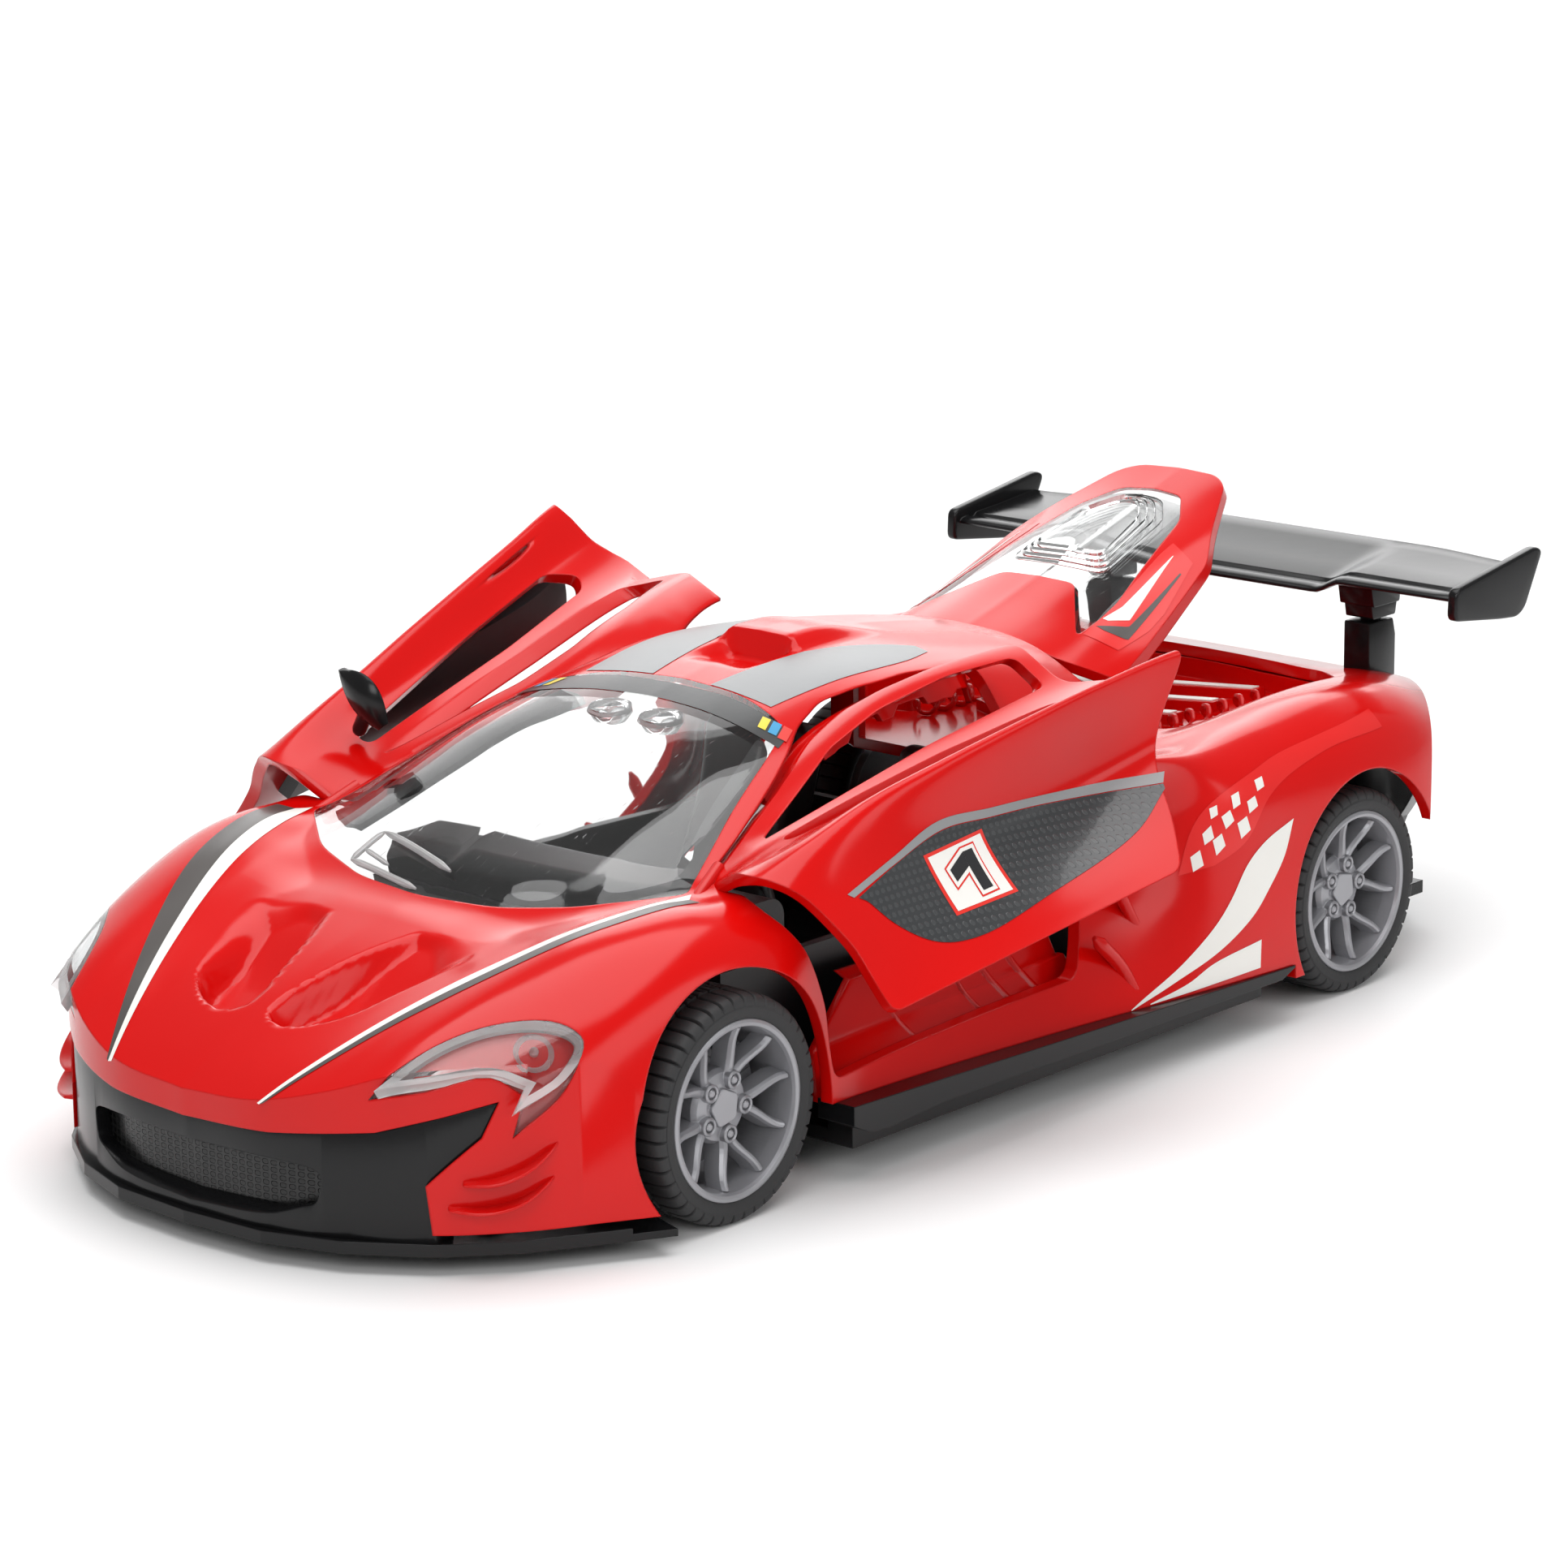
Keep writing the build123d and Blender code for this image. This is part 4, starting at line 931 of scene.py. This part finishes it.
def sticker(name, edge_a, edge_b, axis, material, body="car_body", move=None, n=60, m=8, lift=0.07,
            curved=True):
    """Band between two edges drawn in plan (x, y) or from a side (x, z), laid on the surface."""
    a, b = resample(edge_a, n, curved), resample(edge_b, n, curved)
    rows = []
    for p, q in zip(a, b):
        row = []
        for t in np.linspace(0, 1, m):
            u, v = p * (1 - t) + q * t
            point = onto(u, v, 0, "z", lift) if axis == "z" else onto(u, 0, v, axis, lift)
            row.append(point if point is not None else (row[-1] if row else Vector((u, 0, v))))
        rows.append(row)
    verts, faces = grid(np.array(rows))
    obj = make(name, verts, faces)
    smooth(obj, 60)
    up = sum((p.normal for p in obj.data.polygons), Vector())
    mid = surface_normal(obj.data.vertices[len(obj.data.vertices) // 2].co / MM)[1]
    if up.dot(mid) < 0:
        obj.data.flip_normals()
    if move is not None:
        turned(obj, move)
    return add(obj, body, material)


def on_side(points, side):
    """Plan points drawn on the left, moved to the side named by 1 or -1."""
    return [(x, y * side) for x, y in points]


SIDES = ((1, "left"), (-1, "right"))
for s, side in SIDES:
    wide = 1.0 if s < 0 else 0.62
    inner = [(95.3, 11.2), (88, 14.6), (78, 19.0), (68, 23.2), (58, 26.6), (48.6, 29.0)]
    middle = [(95.4, 11.6), (88, 15.5), (78, 20.4), (68, 25.0), (58, 28.6), (50.2, 30.2)]
    outer_edge = [(95.2, 12.0), (88, 15.5 + 1.4 * wide), (78, 20.4 + 2.6 * wide), (68, 25.0 + 3.2 * wide),
                  (58, 28.6 + 3.0 * wide), (50.4, 30.2 + 2.8 * wide)]
    sticker(f"stripe_white_{side}", on_side(inner, s), on_side(middle, s), "z", sticker_white)
    sticker(f"stripe_dark_{side}", on_side(middle, s), on_side(outer_edge, s), "z", sticker_grey)

# ---------------------------------------------------------------- front fascia and canards
band = prism(plan_outline(0.5), "z", 3.4, 20)
boolean(band, [prism(plan_outline(3.0), "z", 0, 40)])
boolean(band, [nose_cut(rounded(grown(fascia_front, -0.05), 0.6))], "INTERSECT")
mesh_hole = [(-17.6, 6.2), (-12, 5.0), (0, 4.6), (12, 5.0), (17.6, 6.2), (18.6, 10.8), (16, 12.0),
             (6, 11.5), (0, 11.3), (-6, 11.5), (-16, 12.0), (-18.6, 10.8)]
flare = []
for x, extra in ((85, -0.9), (93.2, -0.9), (97, 0.9)):
    flare.append([(x, a, b) for a, b in rounded(grown(mesh_hole, extra), 1.0)])
boolean(band, [tube_mesh("cutter", flare)])
add(smooth(bevelled(band, 0.18), 30), "car_body", black, ["front_grille"], "front_fascia")


def plan_wall(name, shrink, half, low, high):
    """Piece of upright wall that follows the nose."""
    wall = prism(plan_outline(shrink), "z", low, high)
    boolean(wall, [prism(plan_outline(shrink + 0.8), "z", low - 5, high + 5)])
    corners = [(-half, low - 1), (half, low - 1), (half, high + 1), (-half, high + 1)]
    boolean(wall, [nose_cut(corners)], "INTERSECT")
    wall.name = name
    return wall


add(smooth(plan_wall("grille_mesh", 2.4, 19.5, 4.2, 12.6)), "car_body", mesh_look)


def canard(line, out=(1.5, 2.0, 0), thick=0.7):
    """Small fin: a base line on the body, standing out from it and tapering to its tips."""
    rows = []
    for q, t in zip(resample(line, 14), np.linspace(0, 1, 14)):
        back = q - np.array(out) * 0.4
        tip = q + np.array(out) * math.sin(math.pi * min(1.0, 0.12 + 0.88 * t)) ** 0.6
        rows.append([back + (0, 0, thick / 2), tip + (0, 0, thick * 0.3 + 0.2 * t),
                     tip + (0, 0, -thick * 0.2 + 0.2 * t), back - (0, 0, thick / 2)])
    return smooth(bevelled(tube_mesh("fin", rows), 0.25, 3), 50)


for k, line in enumerate(([(84.4, 29.6, 10.0), (82.0, 31.8, 10.2), (79.2, 34.0, 11.4), (76.6, 36.0, 13.6)],
                          [(85.6, 28.6, 7.4), (83.0, 31.2, 7.2), (80.0, 33.6, 7.9), (77.0, 35.8, 10.0)])):
    add_pair(canard(line), f"canard_{k}", red)


# ---------------------------------------------------------------- wheels
def spoke(angle, side):
    """One curved spoke of a wishbone pair, from its lug boss out to the barrel."""
    rows = []
    for t in np.linspace(0, 1, 12):
        r = 2.9 + 5.9 * t
        a = math.radians(angle + side * (5.5 + 12.5 * float(ease(t * 1.05)) + 2.0 * math.sin(math.pi * t)))
        c = np.array((*polar(r, a), 0))
        n = np.array((-math.sin(a), math.cos(a), 0)) * (0.60 - 0.16 * t)
        top = 2.5 + 1.5 * t ** 1.5
        section = ((1.5, 2.4), (1, 0.5), (0.55, 0.08), (0, 0), (-0.55, 0.08), (-1, 0.5), (-1.5, 2.4))
        rows.append([c + n * w + (0, 0, top - down) for w, down in section])
    return smooth(tube_mesh("spoke", rows), 50)


def build_rim():
    parts = [smooth(lathe("barrel", [(9.9, -4.6), (9.95, 4.2), (9.8, 4.62), (9.45, 4.75), (9.1, 4.62),
                                     (8.95, 4.2), (8.75, 2.6), (8.6, 0.0), (8.6, -4.6)]), 40),
             smooth(lathe("hub", [(0.9, -1.2), (4.1, -1.2), (4.1, 1.5), (3.7, 2.1), (2.6, 2.35),
                                  (0.9, 2.4)]), 40)]
    cap = prism(rounded(regular(5, 2.3, math.radians(54)), 0.5), "z", 1.8, 2.85)
    parts.append(smooth(bevelled(cap, 0.15), 40))
    for k in range(5):
        a = 72 * k + 18
        parts += [spoke(a, 1), spoke(a, -1)]
        boss = lathe("boss", [(0.42, 1.8), (1.05, 1.8), (1.02, 2.95), (0.82, 3.12), (0.66, 3.0), (0.6, 2.6),
                              (0.42, 2.6)], 24)
        nut = lathe("nut", [(0.01, 1.8), (0.46, 1.8), (0.46, 2.9), (0.3, 3.08), (0.01, 3.12)], 16)
        parts += [smooth(placed(piece, *polar(3.05, math.radians(a)), 0), 40) for piece in (boss, nut)]
    return join(parts, "rim")


BLOCKS, PER = 44, 8  # shoulder blocks round a tyre, and mesh steps for each


def tread(k, r, h):
    """Depth of the grooves between the shoulder blocks and of the ring groove beside them."""
    if r < 11.55:
        return -0.28 if 11.25 < r < 11.45 and h > 0 else 0
    lag = 2 if abs(h) < 1.2 else 0
    return -0.5 if (k + lag + (4 if h < 0 else 0)) % PER == 0 else 0


def build_tyre():
    half = [(9.8, 4.45), (10.0, 4.62), (10.6, 4.78), (11.2, 4.76), (11.3, 4.74), (11.42, 4.72), (11.6, 4.74),
            (12.0, 4.55), (12.3, 4.15), (12.46, 3.5), (12.5, 2.9), (12.48, 2.0), (12.5, 1.3)]
    mid = [(12.0, 1.15), (12.0, 0.9), (12.5, 0.75)]
    profile = half + mid + [(r, -h) for r, h in reversed(mid)] + [(r, -h) for r, h in reversed(half)]
    return smooth(lathe("tyre", profile, BLOCKS * PER, tread), 42)


def build_disc():
    """Drilled brake disc with a caliper, moulded in one piece."""
    parts = [lathe("plate", [(1.0, -2.6), (7.3, -2.6), (7.3, -1.9), (4.9, -1.9), (4.7, -1.6),
                             (1.0, -1.6)], 80)]
    for k in range(10):
        dot = lathe("dot", [(0.2, -1.9), (0.42, -1.9), (0.42, -1.7), (0.2, -1.7)], 14)
        parts.append(placed(dot, *polar(6.0, math.radians(36 * k + 9)), 0))
    arc = [polar(7.9, a) for a in np.linspace(2.6, 3.7, 14)]
    arc += [polar(5.2, a) for a in np.linspace(3.7, 2.6, 14)]
    parts.append(bevelled(prism(arc, "z", -2.6, -0.4), 0.3))
    for a in (2.85, 3.15, 3.45):
        rib = [polar(5.6, a), polar(7.5, a), polar(7.5, a + 0.1), polar(5.6, a + 0.1)]
        parts.append(prism(rounded(rib, 0.1), "z", -0.5, -0.2))
    return smooth(join(parts, "disc"), 35)


rim_mesh, tyre_mesh, disc_mesh = build_rim(), build_tyre(), build_disc()
for axle, x in (("front", FRONT_X), ("rear", REAR_X)):
    discs = []
    for s, side in SIDES:
        seat = Matrix.Translation(Vector((x, s * 36.1, TYRE_R)) * MM)
        seat = seat @ Matrix.Rotation(-s * math.pi / 2, 4, "X")
        seat = seat @ Matrix.Rotation(math.radians(11 if axle == "front" else 25), 4, "Z")
        for model, kind, mat, slot in ((rim_mesh, "rim", rim_grey, "rim_silver"),
                                       (tyre_mesh, "tyre", rubber, "tyre_black")):
            piece = copy_of(model, f"{kind}_piece_{axle}_{side}")
            piece.data.transform(seat)
            add(piece, f"{axle}_axle", mat, [f"{kind}_{axle}_{side}"])
        piece = copy_of(disc_mesh, "disc_one")
        piece.data.transform(seat)
        discs.append(piece)
    pair = smooth(join(discs, f"{axle}_disc_pair"), 35)
    add(pair, f"{axle}_axle", disc_grey, [f"{axle}_brake_discs"])
for o in (rim_mesh, tyre_mesh, disc_mesh):
    bpy.data.objects.remove(o)


# ---------------------------------------------------------------- wing
def build_wing():
    """Blade with a raised rib along its front edge, and an upright plate at each end."""
    rows = []
    for y in np.concatenate([np.linspace(-39, -24, 6), np.linspace(-22, -16, 7), np.linspace(-13, 13, 7),
                             np.linspace(16, 22, 7), np.linspace(24, 39, 6)]):
        out = float(ease((abs(y) - 17.5) / 4.0))
        tip = float(ease((abs(y) - 24) / 15))
        zf, zr = 42.6 + 1.5 * out + 0.2 * tip, 46.3 - 0.5 * tip
        xf, xr = -79.0 + 0.6 * tip, -94.6 + 0.4 * tip
        ring = []
        for t, over, under in ((0.0, 0.15, 0.15), (0.03, 0.45, 0.35), (0.10, 0.55, 0.45), (0.13, 0.2, 0.45),
                               (0.18, 0.2, 0.5), (0.21, 0.6, 0.55), (0.5, 0.5, 0.6), (0.85, 0.45, 0.4),
                               (1.0, 0.4, 0.2)):
            x = xf + (xr - xf) * t
            z = zf + (zr - zf) * t ** 1.35
            ring.append(((x, y, z + over), (x, y, z - under)))
        rows.append([a for a, _ in ring] + [b for _, b in reversed(ring)])
    blade = smooth(bevelled(tube_mesh("blade", rows), 0.12), 40)
    plate = rounded([(-77.2, 42.0), (-77.4, 45.9), (-94.8, 48.6), (-96.2, 47.9), (-92.6, 41.2), (-91.0, 40.3),
                     (-87.5, 40.6)], 1.0)
    left = bevelled(side_cut(plate, 38.9, 40.3), 0.35, segments=3)
    return smooth(join([blade, smooth(flip(left), 40), smooth(left, 40)], "wing_piece"), 40)


add(build_wing(), "car_body", black, ["wing_blade"], "wing_piece")
foot = tube_mesh("foot", [[(-89.8, y, 29.2), (-84.0, y, 29.2), (-84.0, y, 38.2), (-89.2, y, 38.2),
                           (-89.8, y, 36.0)] for y in (18.9, 22.9)])
neck = placed(lathe("neck", [(0.01, 37.8), (1.35, 37.8), (1.35, 40.7), (0.01, 40.7)], 28), -87, 20.9, 0)
head = rounded([(-89.6, 40.3), (-84.0, 40.3), (-83.4, 43.2), (-90.0, 44.0)], 0.3)
collar = rounded([(-89.4, 38.6), (-84.6, 38.6), (-84.2, 40.6), (-89.8, 40.6)], 0.3)
strut = join([bevelled(foot, 0.3), neck, bevelled(side_cut(head, 18.3, 23.5), 0.3),
              bevelled(side_cut(collar, 18.8, 23.0), 0.25)], "strut")
for piece, side in ((strut, "left"), (flip(strut), "right")):
    smooth(piece, 35)
    add(piece, "car_body", black, [f"wing_strut_{side}"], f"strut_piece_{side}")

# ---------------------------------------------------------------- engine bay: pale chevrons, painted highlights on the tray, and two coils
bay_highlight_parts = []
for k in range(4):
    x = -44.0 - 8.5 * k
    chevron = mirrored([(x - 0.6, 0), (x - 5.4, 11.5), (x - 6.9, 11.5), (x - 2.1, 0)])
    bay_highlight_parts.append(prism(chevron, "z", 29.8, 29.95))
# The white chevrons are painted highlights standing for the glossy glints on the red tray
add(smooth(join(bay_highlight_parts, "bay_highlight_marks"), 30), "car_body", sticker_white)
coil_parts = []
for s, _ in SIDES:
    turns = []
    for k in range(61):
        a = 2 * math.pi * k / 6
        turns.append((-40.0 - 0.56 * k, s * 14.8 + 1.1 * math.cos(a), 29.7 + 1.0 * math.sin(a)))
    coil_parts.append(rod_along("coil", turns, 0.38, 6, 300))
add(smooth(join(coil_parts, "bay_coils"), 50), "car_body", red)

# ---------------------------------------------------------------- more stickers
SWOOSH_IN = [(-41.9, 24.8), (-36.5, 23.1), (-33.5, 21.1), (-30.5, 17.4), (-27.4, 14.6), (-21.4, 11.3),
             (-11.7, 8.2)]
SWOOSH_OUT = [(-41.7, 24.4), (-39.9, 20.7), (-37.0, 17.5), (-33.9, 14.7), (-27.8, 11.7), (-19.3, 9.5),
              (-11.7, 8.1)]
SQUARES = [[(-25.5, 23.0), (-26.7, 23.7), (-26.9, 21.9), (-25.5, 21.3)],
           [(-27.2, 25.5), (-28.3, 26.4), (-28.5, 24.9), (-27.3, 24.2)],
           [(-28.3, 24.6), (-29.5, 25.3), (-29.9, 23.8), (-28.6, 22.8)],
           [(-29.7, 27.2), (-31.0, 27.8), (-31.4, 26.5), (-30.1, 25.7)],
           [(-31.6, 29.3), (-32.9, 29.6), (-32.7, 28.2), (-31.5, 27.8)],
           [(-31.8, 26.1), (-33.4, 26.7), (-33.9, 25.0), (-32.3, 24.2)],
           [(-33.8, 28.3), (-35.3, 28.7), (-35.5, 27.5), (-33.9, 26.9)],
           [(-36.0, 30.3), (-37.5, 30.5), (-37.3, 29.4), (-35.9, 29.1)],
           [(-28.4, 28.3), (-29.4, 28.6), (-29.3, 27.5), (-28.4, 27.1)]]
ONE = [(16.9, 25.0), (18.4, 25.0), (21.3, 23.7), (21.2, 22.2), (18.5, 23.3), (18.6, 20.2), (17.1, 20.2)]
ONE_MIDDLE = 19.1
SMALL_SWOOSH = ([(-35.1, 11.6), (-26.8, 10.5), (-22.0, 9.1), (-15.0, 8.2)],
                [(-34.7, 8.3), (-28, 8.2), (-22, 8.1), (-15.0, 8.1)])
FENDER_FILM = ([(-23.7, 21.1), (-28.0, 28.4), (-38.3, 31.6), (-49.5, 32.9), (-62.1, 33.7)],
               [(-28.3, 21.7), (-33.1, 23.7), (-38.0, 28.2), (-49.8, 31.3), (-62.4, 31.7)])
DOOR_SILVER = ([(36.7, 25.7), (27.9, 27.5), (20.4, 29.1), (12.3, 28.2), (4.8, 27.3), (-5.2, 25.8),
                (-12.4, 24.1)],
               [(36.0, 25.1), (28.2, 26.7), (19.9, 28.1), (12.5, 27.3), (5.1, 26.4), (-4.5, 24.7),
                (-11.3, 23.0)])
DOOR_CARBON = ([(35.4, 24.9), (28.2, 26.6), (19.9, 28.0), (12.5, 27.2), (5.1, 26.3), (-4.5, 24.6),
                (-11.2, 22.9)],
               [(34.4, 24.2), (32.0, 20.6), (28.0, 17.2), (22.5, 15.9), (11.0, 16.9), (-4.0, 19.2),
                (-10.9, 22.3)])
NUMBER_EDGE = [(23.9, 26.3), (14.3, 26.5)], [(23.8, 18.9), (14.5, 18.6)]
NUMBER_PLATE = [(23.4, 25.9), (14.8, 26.1)], [(23.3, 19.3), (15.0, 19.0)]
for (s, side), move in zip(SIDES, (OPEN_LEFT, OPEN_RIGHT)):
    door_name = f"{side}_door"
    sticker(f"swoosh_a_{side}", SWOOSH_IN, SWOOSH_OUT, s, sticker_white)
    sticker(f"swoosh_b_{side}", *SMALL_SWOOSH, s, sticker_white)
    sticker(f"fender_film_{side}", *FENDER_FILM, s, film_red, lift=0.05)
    for k, q in enumerate(SQUARES):
        sticker(f"check_{k}_{side}", [q[0], q[1]], [q[3], q[2]], s, sticker_white, n=8, lift=0.09)
    sticker(f"door_silver_{side}", *DOOR_SILVER, s, sticker_silver, door_name, move, n=90, m=5)
    sticker(f"door_carbon_{side}", *DOOR_CARBON, s, carbon, door_name, move, n=90, m=26)
    sticker(f"number_edge_{side}", *NUMBER_EDGE, s, sticker_red, door_name, move, n=16, m=14, lift=0.10)
    sticker(f"number_plate_{side}", *NUMBER_PLATE, s, sticker_white, door_name, move, n=16, m=14, lift=0.13)
    for grow, mat, lift, tag in ((0.62, sticker_red, 0.16, "c"), (0.42, sticker_white, 0.19, "b"),
                                 (0.0, sticker_black, 0.22, "a")):
        g = [(u if s > 0 else 2 * ONE_MIDDLE - u, w) for u, w in grown(ONE, grow)]
        low = ((g[0][0] + g[6][0]) / 2, (g[0][1] + g[6][1]) / 2)
        for part, a, b, over in (("flag", [g[2], g[1]], [g[3], g[4]], 0),
                                 ("stem", [g[1], g[4], g[5]], [g[0], low, g[6]], 0.004)):
            sticker(f"one_{tag}_{part}_{side}", a, b, s, mat, door_name, move, n=12, curved=False,
                    lift=lift + over)
for s, side in SIDES:
    inner = [(18.2, 4.4), (10.0, 5.6), (2.5, 6.9), (-4, 9.2), (-9, 11.6)]
    outer_edge = [(19.0, 14.2), (10.0, 15.0), (2.5, 15.4), (-4, 14.9), (-9, 13.6)]
    sticker(f"roof_stripe_{side}", on_side(inner, s), on_side(outer_edge, s), "z", sticker_silver, m=24)
    for k, (y, mat) in enumerate(((15.0, sticker_yellow), (16.5, sticker_blue), (17.9, sticker_red))):
        sticker(f"banner_bar_{k}_{side}", on_side([(21.25 - 0.12 * k, y), (21.2 - 0.15 * k, y + 1.15)], s),
                on_side([(23.3, y + 1.0), (23.25 - 0.1 * k, y + 2.1)], s), "z", mat, n=8, lift=0.12)
COVER_MARKS = (
    ("cover_film", [(-39.4, 12.9), (-46.9, 12.2), (-58.6, 10.5), (-61.2, 10.4)],
     [(-40.3, 16.6), (-45.9, 16.9), (-49.6, 16.5), (-59.4, 14.2)], film_red, 0.06, 12),
    ("cover_chevron_a", [(-43.5, 12.7), (-46.9, 13.0), (-58.9, 11.9)],
     [(-43.6, 13.3), (-45.6, 14.7), (-58.9, 12.0)], sticker_white, 0.10, 8),
    ("cover_chevron_b", [(-41.8, 13.0), (-44.6, 15.2), (-56.8, 14.1)],
     [(-41.8, 14.0), (-42.6, 16.3), (-56.8, 14.3)], sticker_grey, 0.11, 8))
for s, side in SIDES:
    for name, low, high, mat, lift, m in COVER_MARKS:
        sticker(f"{name}_{side}", on_side(low, s), on_side(high, s), "z", mat, "engine_cover", OPEN_COVER,
                n=40, m=m, lift=lift, curved=False)
sticker("banner", [(21.6, -19.3), (20.8, -15), (19.9, -9), (19.6, 0), (19.9, 9), (20.8, 15), (21.6, 19.3)],
        [(24.6, -20.2), (24.6, -16.6), (23.8, -9), (23.3, 0), (23.8, 9), (24.6, 16.6), (24.6, 20.2)], "z",
        sticker_black, n=90, m=12)

# ---------------------------------------------------------------- camera, light and floor
scene = bpy.context.scene
camera = linked("camera", bpy.data.cameras.new("camera"))
scene.camera = camera
look = Vector((-0.7253, -0.6423, -0.2478)).normalized()
right = look.cross(Vector((0, 0, 1))).normalized()
up = right.cross(look)
roll = math.radians(-0.55)
across = right * math.cos(roll) + up * math.sin(roll)
upward = up * math.cos(roll) - right * math.sin(roll)
turn = Matrix((across, upward, -look)).transposed().to_4x4()
camera.matrix_world = Matrix.Translation(Vector((435.97, 385.85, 179.36)) * MM) @ turn
camera.data.lens = 118.4
camera.data.sensor_width = 36
camera.data.shift_x = -0.0024
camera.data.clip_start, camera.data.clip_end = 0.01, 20


def area_light(name, place, aim, size, power):
    light = bpy.data.lights.new(name, "AREA")
    light.shape, light.size, light.size_y, light.energy = "RECTANGLE", size[0], size[1], power
    obj = linked(name, light)
    obj.location = place
    obj.rotation_euler = (Vector(aim) - Vector(place)).to_track_quat("-Z", "Y").to_euler()
    return obj


area_light("top", (0.02, 0.02, 0.55), (0, 0, 0), (0.60, 0.60), 3.3)
area_light("front_left", (0.52, 0.30, 0.34), (0.03, 0, 0.02), (0.26, 0.26), 1.0)
area_light("side", (-0.05, 0.62, 0.30), (0, 0, 0.02), (0.7, 0.20), 0.9)
area_light("back", (-0.5, -0.35, 0.4), (0, 0, 0.02), (0.5, 0.4), 1.0)
# Lights the backdrop only
wall_light = area_light("wall", (-0.9, -0.8, 1.5), (-2.2, -1.95, 0.5), (1.6, 1.6), 60)
wall_light.visible_glossy = False
world = bpy.data.worlds.new("studio")
scene.world = world
world.use_nodes = True
world.node_tree.nodes["Background"].inputs["Color"].default_value = (1, 1, 1, 1)
world.node_tree.nodes["Background"].inputs["Strength"].default_value = 0.30
scene.view_settings.view_transform = "Standard"

floor_mat = new_material("floor", (0.90, 0.90, 0.90), 0.6, grain=0.0, tint=0.004)
# The floor runs away from the camera and curves up into an upright backdrop
FLOOR_AIM, FLOOR_SIDE = Vector((-0.7486, -0.6630, 0)), Vector((0.6630, -0.7486, 0))
NEAR, FAR, WIDE, CURVE, TALL = -3000, 2600, 4000, 500, 2600
arc = [math.radians(90) * min(1, k / 22) for k in range(1, 26)]
profile = [(NEAR, 0), (FAR, 0)] + [(FAR + CURVE * math.sin(a), CURVE * (1 - math.cos(a))) for a in arc]
profile += [(FAR + CURVE, CURVE + TALL)]
sweep_rows = [[tuple(FLOOR_AIM * out + FLOOR_SIDE * w + Vector((0, 0, high))) for w in (-WIDE, WIDE)]
              for out, high in profile]
floor = make("floor", *grid(np.array(sweep_rows)))
smooth(floor, 60)
paint(floor, floor_mat)

bpy.context.view_layer.update()
